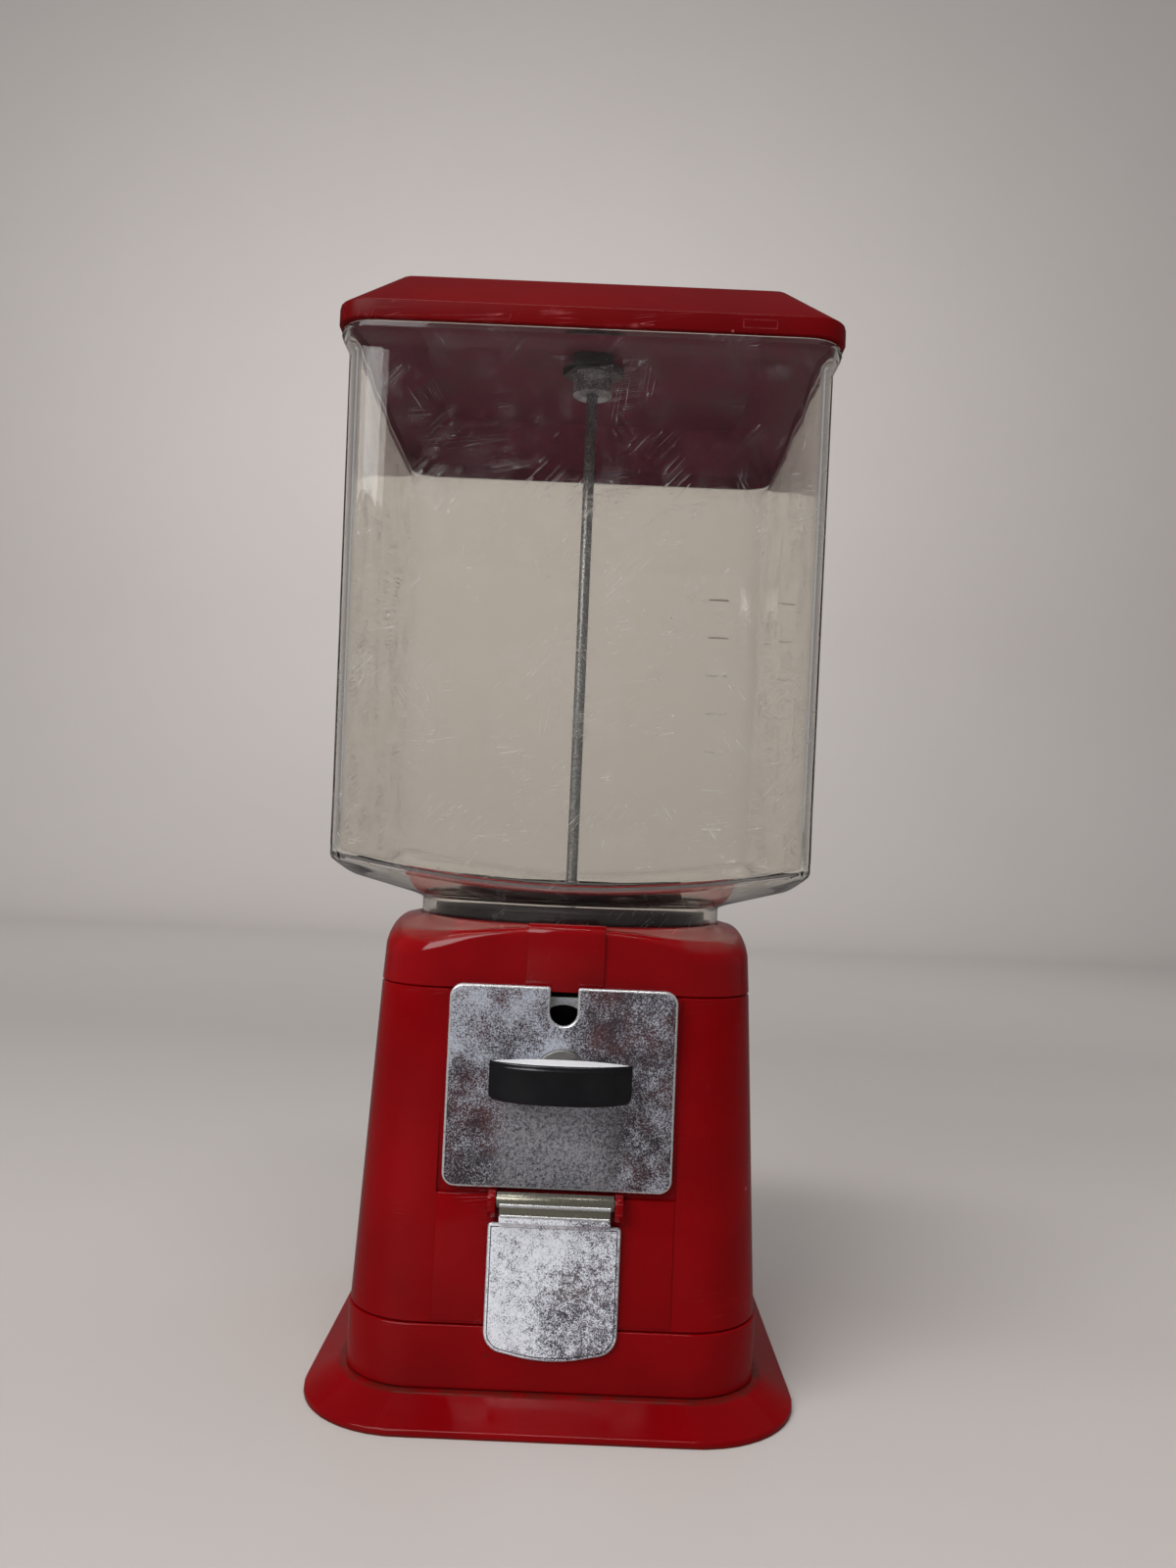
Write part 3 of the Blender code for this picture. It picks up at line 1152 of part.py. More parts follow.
def handle_bar():
    """The lens-shaped bar, its boss, and the socket for the shaft."""
    outline = lens_outline(HANDLE_HALF_WIDTH - GRIP_WALL, HANDLE_FRONT - GRIP_WALL - SEAT_GAP,
                           HANDLE_WAIST, HANDLE_BACK, 3 * ARC_STEPS)
    outline = [(x, -forward) for x, forward in outline]
    made = prism("handle_bar", outline, 2 * HANDLE_HALF_HEIGHT, WORN_CHROME, (0, 0, SHAFT_Z))
    boss_end = ESCUTCHEON_FRONT + RUN_GAP
    join(made, rod("handle_boss", HANDLE_BOSS_RADIUS, (0, -HANDLE_WAIST, SHAFT_Z),
                   (0, -boss_end, SHAFT_Z), WORN_CHROME))
    cut(made, rod("handle_socket", SHAFT_HOLE, (0, -HANDLE_BACK - HANDLE_SOCKET - 2 * SEAT_GAP, SHAFT_Z),
                  (0, -boss_end + OVERRUN, SHAFT_Z), WORN_CHROME))
    return made


def handle_grip():
    """The black cap round the handle's front and tips."""
    steps = 4 * ARC_STEPS
    half = HANDLE_HALF_WIDTH
    outer, inner = [], []
    for i in range(steps + 1):
        share = 1 - 2 * i / steps
        bulge = 1 - share ** 2
        outer.append((half * share, -HANDLE_WAIST - (HANDLE_FRONT - HANDLE_WAIST) * bulge))
        inset = half - GRIP_WALL + SEAT_GAP
        inner.append((inset * share, -HANDLE_WAIST - (HANDLE_FRONT - GRIP_WALL - HANDLE_WAIST) * bulge))
    tail = GRIP_WALL
    outline = [(half, -HANDLE_WAIST + tail)] + outer + [(-half, -HANDLE_WAIST + tail)]
    outline += [(-inset, -HANDLE_WAIST + tail)] + list(reversed(inner)) + [(inset, -HANDLE_WAIST + tail)]
    made = prism("handle_grip", outline, 2 * HANDLE_HALF_HEIGHT, BLACK_PLASTIC, (0, 0, SHAFT_Z))
    bevel(made, GRIP_WALL / 4)
    return made


def handle_escutcheon():
    bore = SHAFT_HOLE
    back = PLATE_FRONT + SEAT_GAP
    return turned("handle_escutcheon", [
        (bore, back), (bore, ESCUTCHEON_FRONT),
        (ESCUTCHEON_RADIUS - ESCUTCHEON_THICKNESS / 2, ESCUTCHEON_FRONT),
        (ESCUTCHEON_RADIUS, ESCUTCHEON_FRONT - ESCUTCHEON_THICKNESS / 2), (ESCUTCHEON_RADIUS, back)],
        ZINC_STEEL, 32, (0, 0, SHAFT_Z), (90, 0, 0))


# Chute and door

def chute_line(y):
    """Height of the sloping floor's upper face at this distance in front of the rod."""
    share = (y - CHUTE_DROP_BACK - CHUTE_WALL) / (BAND_HALF - CHUTE_DROP_BACK - CHUTE_WALL)
    return mix(CHUTE_FLOOR_BACK_Z, CHUTE_FLOOR_FRONT_Z, share)


def chute():
    """A straight drop behind the mechanism, then a covered slope out to the door."""
    wall, front_wall = CHUTE_WALL, CHUTE_FRONT_WALL
    end = BAND_HALF - PANEL_PROUD - SEAT_GAP
    back, drop = CHUTE_DROP_BACK, CHUTE_DROP_FRONT
    outer = [
        (-drop, CHUTE_TOP), (-back, CHUTE_TOP), (-back, chute_line(back + wall) - wall),
        (-end, chute_line(end) - wall), (-end, chute_line(end) + CHUTE_HEADROOM + wall),
        (-drop, chute_line(drop) + CHUTE_HEADROOM + wall)]
    made = from_side("chute", outer, CHUTE_HALF_WIDTH, BLACK_PLASTIC)
    tab_low = CHUTE_TOP - CHUTE_TAB_THICKNESS
    tab = box("chute_tabs", (-CHUTE_TAB_HALF_WIDTH, -POCKET_CIRCLE - CHUTE_TAB_HALF_DEPTH, tab_low),
              (CHUTE_TAB_HALF_WIDTH, -POCKET_CIRCLE + CHUTE_TAB_HALF_DEPTH, CHUTE_TOP), BLACK_PLASTIC)
    join(made, tab)
    for side in (-1, 1):
        x = side * CHUTE_SCREW_X
        post_top = PLATEAU_TOP - PLATEAU_WALL - SEAT_GAP
        join(made, rod(f"chute_post_{side}", CHUTE_POST_RADIUS,
                       (x, -POCKET_CIRCLE, CHUTE_TOP - CHUTE_TAB_THICKNESS / 2),
                       (x, -POCKET_CIRCLE, post_top), BLACK_PLASTIC, SMALL_STEPS))
    far = end + OVERRUN
    inner = [
        (-drop + front_wall, CHUTE_TOP + OVERRUN), (-back - wall, CHUTE_TOP + OVERRUN),
        (-back - wall, chute_line(back + wall)), (-far, chute_line(far)),
        (-far, chute_line(far) + CHUTE_HEADROOM),
        (-drop + front_wall, chute_line(drop - front_wall) + CHUTE_HEADROOM)]
    cut(made, from_side("chute_bore", inner, CHUTE_HALF_WIDTH - wall, BLACK_PLASTIC))
    for side in (-1, 1):
        x = side * CHUTE_SCREW_X
        cut(made, rod(f"chute_screw_hole_{side}", SCREW_RADIUS + SEAT_GAP,
                      (x, -POCKET_CIRCLE, CHUTE_TOP - OVERRUN),
                      (x, -POCKET_CIRCLE, PLATEAU_TOP), BLACK_PLASTIC, TINY_STEPS))
    return made


def door_outline():
    """The door's face: square shoulders above, round corners and a bowed edge below."""
    half, corner, low = DOOR_HALF_WIDTH, DOOR_CORNER, DOOR_BOTTOM
    shoulder = DOOR_CORNER / 5
    outline = arc((half - shoulder, DOOR_TOP - shoulder), shoulder, 0, 90)
    outline += arc((-half + shoulder, DOOR_TOP - shoulder), shoulder, 90, 180)
    outline += arc((-half + corner, low + DOOR_BOW + corner), corner, 180, 260)
    reach = half - corner
    for i in range(1, 2 * ARC_STEPS):
        share = 2 * i / (2 * ARC_STEPS) - 1
        outline.append((reach * share, low + DOOR_BOW * share ** 2))
    outline += arc((half - corner, low + DOOR_BOW + corner), corner, 280, 360)
    return outline


def chute_door():
    """A pressed door with a narrower tab that rolls into the hinge barrel."""
    back = BAND_HALF + DOOR_GAP
    made = facing_front("chute_door", door_outline(), DOOR_THICKNESS, back, WORN_CHROME)
    join(made, from_side("door_tab", door_tab_outline(back), DOOR_TAB_HALF_WIDTH, WORN_CHROME))
    join(made, rod("door_barrel", DOOR_BARREL_RADIUS, (-DOOR_BARREL_HALF_WIDTH, -DOOR_PIVOT_Y, DOOR_PIVOT_Z),
                   (DOOR_BARREL_HALF_WIDTH, -DOOR_PIVOT_Y, DOOR_PIVOT_Z), WORN_CHROME))
    return cut(made, rod("door_barrel_bore", HINGE_PIN_RADIUS + SEAT_GAP,
                         (-EAR_OUTER, -DOOR_PIVOT_Y, DOOR_PIVOT_Z),
                         (EAR_OUTER, -DOOR_PIVOT_Y, DOOR_PIVOT_Z), WORN_CHROME))


def door_tab_outline(back):
    """Side view of the tab: a jog forward above the door's face, then up to the barrel's front."""
    front = back + DOOR_THICKNESS
    nose = DOOR_PIVOT_Y + DOOR_BARREL_RADIUS
    low = DOOR_TOP - DOOR_THICKNESS
    rise = DOOR_TOP + DOOR_THICKNESS
    return [(-back, low), (-back, DOOR_TOP + EMBED), (-nose + DOOR_THICKNESS, rise),
            (-nose + DOOR_THICKNESS, DOOR_PIVOT_Z), (-nose + DOOR_THICKNESS / 8, DOOR_PIVOT_Z),
            (-nose + DOOR_THICKNESS / 8, rise - DOOR_THICKNESS / 2), (-front, low)]


def door_hinge_pin():
    reach = EAR_OUTER - SEAT_GAP
    return rod("door_hinge_pin", HINGE_PIN_RADIUS, (-reach, -DOOR_PIVOT_Y, DOOR_PIVOT_Z),
               (reach, -DOOR_PIVOT_Y, DOOR_PIVOT_Z), ZINC_STEEL)


# Assembly

def build():
    base_flange()
    base_band()
    body_shell()
    hopper_housing()
    globe()
    globe_gasket()
    wheel_housing()
    hopper_cover()
    wheel_floor()
    wheel_bush()
    wheel_collar()
    center_rod()
    rod_washer()
    rod_nut()
    chute()
    door_hinge_pin()
    mech_faceplate()
    mech_backplate()
    mech_fasteners()
    housing_fasteners()
    handle_escutcheon()
    pawl_pin()

    handle_axis = pivot("handle_axis", (0, -PLATE_FRONT, SHAFT_Z))
    turning = [handle_bar(), handle_grip(), mech_shaft(), coin_wheel(), ratchet_wheel(), drive_pinion(),
               gear_pin()]
    for piece in turning:
        hang(piece, handle_axis)
    hang(product_wheel(), pivot("wheel_axis", (0, 0, WHEEL_BOTTOM)))
    hang(chute_door(), pivot("door_axis", (0, -DOOR_PIVOT_Y, DOOR_PIVOT_Z)))
    hang(pawl(), pivot("pawl_axis", (PAWL_PIVOT_X, -RATCHET_FRONT, SHAFT_Z + PAWL_PIVOT_RISE)))
    lid_axis = pivot("lid_axis", (0, 0, LID_BOTTOM))
    for piece in (lid(), lock_housing(), lock_nut()):
        hang(piece, lid_axis)
    lock_axis = pivot("lock_axis", (0, 0, LOCK_TOP))
    hang(lock_axis, lid_axis)
    hang(lock_plug(), lock_axis)


build()
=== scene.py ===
import json
import math

import bmesh
import bpy
from mathutils import Matrix, Vector


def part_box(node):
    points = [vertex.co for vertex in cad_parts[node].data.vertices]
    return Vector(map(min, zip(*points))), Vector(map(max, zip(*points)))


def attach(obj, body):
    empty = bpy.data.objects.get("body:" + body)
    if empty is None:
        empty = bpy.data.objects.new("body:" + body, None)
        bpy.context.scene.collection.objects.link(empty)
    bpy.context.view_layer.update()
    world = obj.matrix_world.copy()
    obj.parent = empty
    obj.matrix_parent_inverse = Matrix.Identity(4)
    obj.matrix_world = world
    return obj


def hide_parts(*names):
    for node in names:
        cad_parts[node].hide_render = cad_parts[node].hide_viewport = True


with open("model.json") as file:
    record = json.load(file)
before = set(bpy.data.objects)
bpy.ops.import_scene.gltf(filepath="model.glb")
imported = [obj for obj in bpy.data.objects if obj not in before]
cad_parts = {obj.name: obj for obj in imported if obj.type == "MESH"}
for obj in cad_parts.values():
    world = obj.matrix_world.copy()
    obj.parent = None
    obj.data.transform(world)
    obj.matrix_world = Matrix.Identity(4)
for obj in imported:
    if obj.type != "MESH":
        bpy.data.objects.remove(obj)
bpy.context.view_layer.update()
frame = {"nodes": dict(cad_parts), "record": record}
sceneLink = bpy.context.scene.collection.objects.link
print("frame loaded:", len(frame["nodes"]), "nodes")


def joinTo(tree, socket, value):
    if isinstance(value, bpy.types.NodeSocket):
        tree.links.new(value, socket)
    else:
        socket.default_value = value


def addNode(tree, kind, settings=None, **inputs):
    # A node with its properties set, and its inputs given as values or as sockets to link
    node = tree.nodes.new(kind)
    for label, value in (settings or {}).items():
        setattr(node, label, value)
    for label, value in inputs.items():
        joinTo(tree, node.inputs[label.replace("_", " ")], value)
    return node


def addMath(tree, operation, a, b=None, clamp=False):
    node = addNode(tree, "ShaderNodeMath", {"operation": operation, "use_clamp": clamp})
    for socket, value in zip(node.inputs, (a,) if b is None else (a, b)):
        joinTo(tree, socket, value)
    return node.outputs[0]


def addRange(tree, value, low, high, outLow=0.0, outHigh=1.0):
    return addNode(tree, "ShaderNodeMapRange", {"interpolation_type": "SMOOTHSTEP"}, Value=value, From_Min=low,
                   From_Max=high, To_Min=outLow, To_Max=outHigh).outputs["Result"]


# Each shader group reads Object coordinates and puts out a mask

def newGroup(name, inputs):
    tree = bpy.data.node_groups.new(name, "ShaderNodeTree")
    for socketName, start in inputs.items():
        made = tree.interface.new_socket(socketName, in_out="INPUT", socket_type="NodeSocketFloat")
        made.default_value = start
    tree.interface.new_socket("Mask", in_out="OUTPUT", socket_type="NodeSocketFloat")
    return tree, tree.nodes.new("NodeGroupInput").outputs, tree.nodes.new("NodeGroupOutput").inputs["Mask"]


noise4D = {"noise_dimensions": "4D"}


def makeBlotchGroup():
    # Soft cloudy patches: 0 outside them, 1 inside
    tree, given, mask = newGroup("blotches", {"Scale": 60.0, "Detail": 4.0, "Roughness": 0.6, "Low": 0.45, "High": 0.6,
                                              "Seed": 0.0})
    place = addNode(tree, "ShaderNodeTexCoord").outputs["Object"]
    cloud = addNode(tree, "ShaderNodeTexNoise", noise4D, Vector=place, Scale=given["Scale"], Detail=given["Detail"],
                    Roughness=given["Roughness"], W=given["Seed"])
    tree.links.new(addRange(tree, cloud.outputs["Fac"], given["Low"], given["High"]), mask)
    return tree


scratchRule = {"levelFace": 0.75, "gapScale": 42.0, "gapDetail": 3.0, "gapSoft": 0.12, "sideSeed": 5.0}


def makeScratchGroup():
    # Long thin lines in the plane of each face, broken up by a cloud
    rule = scratchRule
    tree, given, mask = newGroup("scratches", {"Scale": 400.0, "Stretch": 14.0, "Turn": 0.4, "Width": 0.012,
                                               "Share": 0.5, "Bend": 0.4, "Seed": 0.0})
    place = addNode(tree, "ShaderNodeTexCoord").outputs
    spot = addNode(tree, "ShaderNodeSeparateXYZ", Vector=place["Object"]).outputs
    face = addNode(tree, "ShaderNodeSeparateXYZ", Vector=place["Normal"]).outputs
    sizes = [addMath(tree, "ABSOLUTE", face[axis]) for axis in "XYZ"]
    sideways = addMath(tree, "GREATER_THAN", sizes[0], sizes[1])
    level = addMath(tree, "GREATER_THAN", sizes[2], rule["levelFace"])
    across, upward = (
        addMath(tree, "ADD", addMath(tree, "MULTIPLY", spot["Y"], chosen),
                addMath(tree, "MULTIPLY", spot[other], addMath(tree, "SUBTRACT", 1.0, chosen)))
        for chosen, other in ((sideways, "X"), (level, "Z")))
    flat = addNode(tree, "ShaderNodeCombineXYZ", X=across, Y=upward)
    along = addNode(tree, "ShaderNodeVectorRotate", {"rotation_type": "Z_AXIS"}, Vector=flat.outputs["Vector"],
                    Angle=given["Turn"])
    scales = addNode(tree, "ShaderNodeCombineXYZ", X=given["Scale"],
                     Y=addMath(tree, "DIVIDE", given["Scale"], given["Stretch"]))
    squeezed = addNode(tree, "ShaderNodeMapping", Vector=along.outputs["Vector"], Scale=scales.outputs["Vector"])
    seed = addMath(tree, "ADD", given["Seed"], addMath(tree, "MULTIPLY", sideways, rule["sideSeed"]))
    lines = addNode(tree, "ShaderNodeTexNoise", noise4D, Vector=squeezed.outputs["Vector"], W=seed, Scale=1.0,
                    Detail=0.0, Distortion=given["Bend"])
    off = addMath(tree, "ABSOLUTE", addMath(tree, "SUBTRACT", lines.outputs["Fac"], 0.5))
    line = addRange(tree, off, 0.0, given["Width"], 1.0, 0.0)
    gap = addNode(tree, "ShaderNodeTexNoise", noise4D, Vector=place["Object"], W=given["Seed"], Scale=rule["gapScale"],
                  Detail=rule["gapDetail"])
    least = addMath(tree, "SUBTRACT", 1.0, given["Share"])
    kept = addRange(tree, gap.outputs["Fac"], least, addMath(tree, "ADD", least, rule["gapSoft"]))
    tree.links.new(addMath(tree, "MULTIPLY", line, kept), mask)
    return tree


def makeZoneGroup():
    # 1 inside a soft-edged box of Object coordinates, 0 outside it
    limits = {f"{side} {axis}": start for axis in "XYZ" for side, start in (("Low", -1.0), ("High", 1.0))}
    tree, given, mask = newGroup("zone", {**limits, "Soft": 0.004})
    place = addNode(tree, "ShaderNodeTexCoord").outputs["Object"]
    spot = addNode(tree, "ShaderNodeSeparateXYZ", Vector=place).outputs
    inside = None
    for axis in "XYZ":
        low, high, soft = given["Low " + axis], given["High " + axis], given["Soft"]
        above = addRange(tree, spot[axis], addMath(tree, "SUBTRACT", low, soft), low)
        below = addRange(tree, spot[axis], high, addMath(tree, "ADD", high, soft), 1.0, 0.0)
        both = addMath(tree, "MULTIPLY", above, below)
        inside = both if inside is None else addMath(tree, "MULTIPLY", inside, both)
    tree.links.new(inside, mask)
    return tree


speckRule = {"smallest": 0.3, "core": 0.6}


def makeSpeckGroup():
    # Small round specks, in the share of cells that is asked for
    tree, given, mask = newGroup("specks", {"Scale": 160.0, "Size": 0.16, "Share": 0.12})
    place = addNode(tree, "ShaderNodeTexCoord").outputs["Object"]
    cells = addNode(tree, "ShaderNodeTexVoronoi", Vector=place, Scale=given["Scale"]).outputs
    pick = addNode(tree, "ShaderNodeSeparateColor", Color=cells["Color"]).outputs
    chosen = addMath(tree, "LESS_THAN", pick["Red"], given["Share"])
    size = addMath(tree, "MULTIPLY", given["Size"], addMath(tree, "ADD", pick["Green"], speckRule["smallest"]))
    dot = addRange(tree, cells["Distance"], addMath(tree, "MULTIPLY", size, speckRule["core"]), size, 1.0, 0.0)
    tree.links.new(addMath(tree, "MULTIPLY", dot, chosen), mask)
    return tree


groups = {"blotches": makeBlotchGroup(), "scratches": makeScratchGroup(), "specks": makeSpeckGroup(),
          "zone": makeZoneGroup()}
print("shader groups ready")


class Look:
    # A material with its Principled shader and short ways to add nodes to it
    def __init__(self, name, colour, roughness, **values):
        self.material = bpy.data.materials.new(name)
        self.material.use_nodes = True
        self.tree = self.material.node_tree
        self.shader = self.tree.nodes["Principled BSDF"]
        self.shader.inputs["Base Color"].default_value = (*colour, 1)
        self.shader.inputs["Roughness"].default_value = roughness
        for socketName, value in values.items():
            self.shader.inputs[socketName.replace("_", " ")].default_value = value

    def mask(self, group, **values):
        return addNode(self.tree, "ShaderNodeGroup", {"node_tree": groups[group]}, **values).outputs["Mask"]

    def blend(self, mask, a, b):
        node = addNode(self.tree, "ShaderNodeMix", {"data_type": "RGBA"}, Factor=mask)
        colours = [socket for socket in node.inputs if socket.type == "RGBA"]
        for socket, value in zip(colours, (a, b)):
            joinTo(self.tree, socket, (*value, 1) if isinstance(value, tuple) else value)
        return next(socket for socket in node.outputs if socket.type == "RGBA")

    def over(self, share, under, top):
        node = addNode(self.tree, "ShaderNodeMixShader", Fac=share)
        self.tree.links.new(under, node.inputs[1])
        self.tree.links.new(top, node.inputs[2])
        return node.outputs["Shader"]

    def math(self, operation, a, b=None, clamp=False):
        return addMath(self.tree, operation, a, b, clamp)

    def times(self, a, b):
        return self.math("MULTIPLY", a, b)

    def plus(self, a, b, clamp=False):
        return self.math("ADD", a, b, clamp)

    def most(self, first, *others):
        for other in others:
            first = self.math("MAXIMUM", first, other)
        return first

    def range(self, value, low, high, outLow=0.0, outHigh=1.0):
        return addRange(self.tree, value, low, high, outLow, outHigh)

    def drive(self, socketName, value):
        self.tree.links.new(value, self.shader.inputs[socketName])

    def bump(self, height, distance, strength=1.0):
        node = addNode(self.tree, "ShaderNodeBump", Distance=distance, Strength=strength, Height=height)
        self.drive("Normal", node.outputs["Normal"])


redPaint = {"deep": (0.180, 0.0006, 0.0020), "fresh": (0.240, 0.0009, 0.0027), "scuffed": (0.44, 0.11, 0.12),
            "darkBrown": (0.050, 0.014, 0.009), "film": (0.105, 0.040, 0.034), "roughness": 0.10, "level": 0.20}


redMarks = {
    "clouds": {"group": "blotches", "Scale": 14.0, "Detail": 3.0, "Low": 0.35, "High": 0.7},
    "scuffs": {"group": "blotches", "Detail": 9.0, "Roughness": 0.78, "Low": 0.62, "High": 0.74, "Seed": 3.0},
    "hairs": {"group": "scratches", "Scale": 420.0, "Stretch": 24.0, "Turn": 1.45, "Width": 0.010, "Share": 0.47,
              "Seed": 1.0},
    "marks": {"group": "scratches", "Scale": 300.0, "Stretch": 18.0, "Turn": 0.35, "Width": 0.010, "Share": 0.42,
              "Seed": 6.0},
    "rubbed": {"group": "scratches", "Scale": 330.0, "Stretch": 26.0, "Turn": 1.52, "Width": 0.055, "Share": 0.60,
               "Seed": 14.0},
    "uneven": {"group": "blotches", "Scale": 55.0, "Detail": 5.0, "Low": 0.38, "High": 0.66, "Seed": 15.0},
    "broken": {"group": "blotches", "Scale": 260.0, "Detail": 4.0, "Low": 0.30, "High": 0.62, "Seed": 19.0},
    "chips": {"group": "specks", "Scale": 95.0, "Size": 0.07, "Share": 0.05},
    "specks": {"group": "specks", "Scale": 210.0, "Size": 0.12, "Share": 0.04},
    "patchy": {"group": "blotches", "Scale": 120.0, "Detail": 5.0, "Low": 0.30, "High": 0.58, "Seed": 11.0},
    "dull": {"group": "blotches", "Scale": 24.0, "Detail": 6.0, "Low": 0.4, "High": 0.75, "Seed": 8.0},
    "cloudy": {"group": "blotches", "Scale": 34.0, "Detail": 6.0, "Roughness": 0.7, "Low": 0.28, "High": 0.66,
               "Seed": 17.0},
    "waves": {"group": "blotches", "Scale": 30.0, "Detail": 1.0, "Low": 0.2, "High": 0.8, "Seed": 5.0}}
redShares = {"rubbed": 0.55, "frame": 0.22, "chips": 0.7, "specks": 0.8, "patchyBand": 0.6, "film": 0.45, "dullRough": 0.08,
             "filmRough": 0.16, "wornRough": 0.35, "wornSink": 0.4, "frameSoft": 0.0002, "bandSoft": 0.0006,
             "bumpHeight": 0.00010, "bump": 0.5}


def makeRed(name, gloss, scuffShare, scuffScale, paintedShade=1.0, level=redPaint["level"], zones=(), darkBands=(), films=(),
            streaks=(), frames=()):
    # zones: places (as limits) with more scuffs; the next, heights where the red is darkened in patches; films: dull
    # brown corners
    # streaks: pale rubbed streaks; frames: (place, width) of a faint scratched outline
    r = redShares
    # A factor below 1 darkens both reds evenly: a shaded copy of the red, painted shade
    deep, fresh = (tuple(part * paintedShade for part in redPaint[key]) for key in ("deep", "fresh"))
    look = Look(name, fresh, gloss, Specular_IOR_Level=level)
    colour = look.blend(look.mask(**redMarks["clouds"]), deep, fresh)
    scuffs, hairs, marks = (look.mask(**rule) for rule in (
        {**redMarks["scuffs"], "Scale": scuffScale}, redMarks["hairs"], redMarks["marks"]))
    share = scuffShare
    for zone in zones:
        share = look.plus(share, look.mask("zone", **zone), clamp=True)
    worn = look.times(look.most(scuffs, hairs, marks), share)
    for zone in streaks:
        rubbed = look.times(look.mask(**redMarks["rubbed"]), look.mask(**redMarks["uneven"]))
        worn = look.most(worn, look.times(look.times(rubbed, look.mask("zone", **zone)), r["rubbed"]))
    for (lowX, highX, lowZ, highZ), width in frames:
        outside = look.mask("zone", Low_X=lowX, High_X=highX, Low_Z=lowZ, High_Z=highZ, High_Y=0.0, Soft=r["frameSoft"])
        inside = look.mask("zone", Low_X=lowX + width, High_X=highX - width, Low_Z=lowZ + width, High_Z=highZ - width,
                           Soft=r["frameSoft"])
        line = look.times(look.math("SUBTRACT", outside, inside, clamp=True), look.mask(**redMarks["broken"]))
        worn = look.most(worn, look.times(line, r["frame"]))
    colour = look.blend(worn, colour, redPaint["scuffed"])
    colour = look.blend(look.times(look.mask(**redMarks["chips"]), r["chips"]), colour, redPaint["scuffed"])
    colour = look.blend(look.times(look.mask(**redMarks["specks"]), r["specks"]), colour, redPaint["darkBrown"])
    for low, high in darkBands:
        patchyBand = look.mask("zone", Low_Z=low, High_Z=high, Soft=r["bandSoft"])
        patchyBand = look.times(patchyBand, look.times(look.mask(**redMarks["patchy"]), r["patchyBand"]))
        colour = look.blend(patchyBand, colour, redPaint["darkBrown"])
    rough = look.range(look.mask(**redMarks["dull"]), 0.0, 1.0, gloss, gloss + r["dullRough"])
    for zone in films:
        film = look.times(look.mask("zone", **zone), look.mask(**redMarks["cloudy"]))
        colour = look.blend(look.times(film, r["film"]), colour, redPaint["film"])
        rough = look.plus(rough, look.times(film, r["filmRough"]))
    look.drive("Base Color", colour)
    look.drive("Roughness", look.plus(rough, look.times(worn, r["wornRough"]), clamp=True))
    height = look.math("SUBTRACT", look.mask(**redMarks["waves"]), look.times(worn, r["wornSink"]))
    look.bump(height, r["bumpHeight"], r["bump"])
    return look.material


shoulderFilms = tuple(
    {"Low_X": x, "High_X": x + 0.030, "Low_Y": y, "High_Y": y + 0.040, "Low_Z": 0.1800, "Soft": 0.0045}
    for x, y in ((-0.078, -0.078), (0.048, -0.078), (-0.078, 0.038), (0.048, 0.038)))
lidBandScuffs = {"Low_X": -0.095, "High_X": 0.022, "Low_Z": 0.4130, "High_Z": 0.4180, "Soft": 0.003}
lidBandStreaks = {"Low_X": -0.085, "High_X": 0.016, "High_Y": -0.09, "Low_Z": 0.4138, "High_Z": 0.4172, "Soft": 0.002}
redLook = makeRed("redPlastic", redPaint["roughness"], 0.10, 70.0, darkBands=((0.0, 0.0006), (0.0102, 0.0109)),
                  zones=({"Low_X": -0.06, "High_X": 0.06, "Low_Z": 0.0745, "High_Z": 0.0862, "High_Y": -0.0775},))
shoulderLook = makeRed("redPlasticShoulder", 0.08, 0.10, 70.0, level=0.36, films=shoulderFilms,
                       zones=({"Low_Z": 0.1835, "Soft": 0.0015},))
# The lid uses the same red darkened to two thirds: painted shade
lidLook = makeRed("redPlasticLid", 0.32, 0.12, 60.0, paintedShade=0.66, level=0.10, zones=(lidBandScuffs,),
                  streaks=(lidBandStreaks,), frames=(((0.057, 0.070, 0.4147, 0.4181), 0.0004),))


shade = {"colour": (0.18, 0.012, 0.040), "dark": (0.140, 0.0090, 0.030), "pale": (0.230, 0.030, 0.072),
         "plain": 0.45, "roughness": (0.38, 0.60), "level": 0.15, "bump": (0.00005, 0.4),
         "clouds": {"group": "blotches", "Scale": 26.0, "Detail": 6.0, "Roughness": 0.7, "Low": 0.35, "High": 0.72},
         "grain": {"group": "blotches", "Scale": 400.0, "Detail": 3.0, "Low": 0.3, "High": 0.7, "Seed": 2.0}}


def makePaintedShade():
    # The lid's underside, never polished, coloured with painted shade
    look = Look("redPlasticPaintedShade", shade["colour"], shade["plain"], Specular_IOR_Level=shade["level"])
    clouds = look.mask(**shade["clouds"])
    look.drive("Base Color", look.blend(clouds, shade["dark"], shade["pale"]))
    look.drive("Roughness", look.range(clouds, 0.0, 1.0, *shade["roughness"]))
    look.bump(look.mask(**shade["grain"]), *shade["bump"])
    return look.material


paintedShadeLook = makePaintedShade()


clear = {"tint": (0.868, 0.850, 0.806), "scratched": (0.99, 0.99, 0.99), "veil": (0.76, 0.78, 0.86),
         "speck": (0.22, 0.19, 0.17), "shadow": (0.92, 0.91, 0.89, 1), "refraction": 1.36, "handledFrom": 0.2000,
         "leastHandled": 0.3, "plain": 0.02, "lineShare": 0.5, "bump": (0.00003, 0.5)}
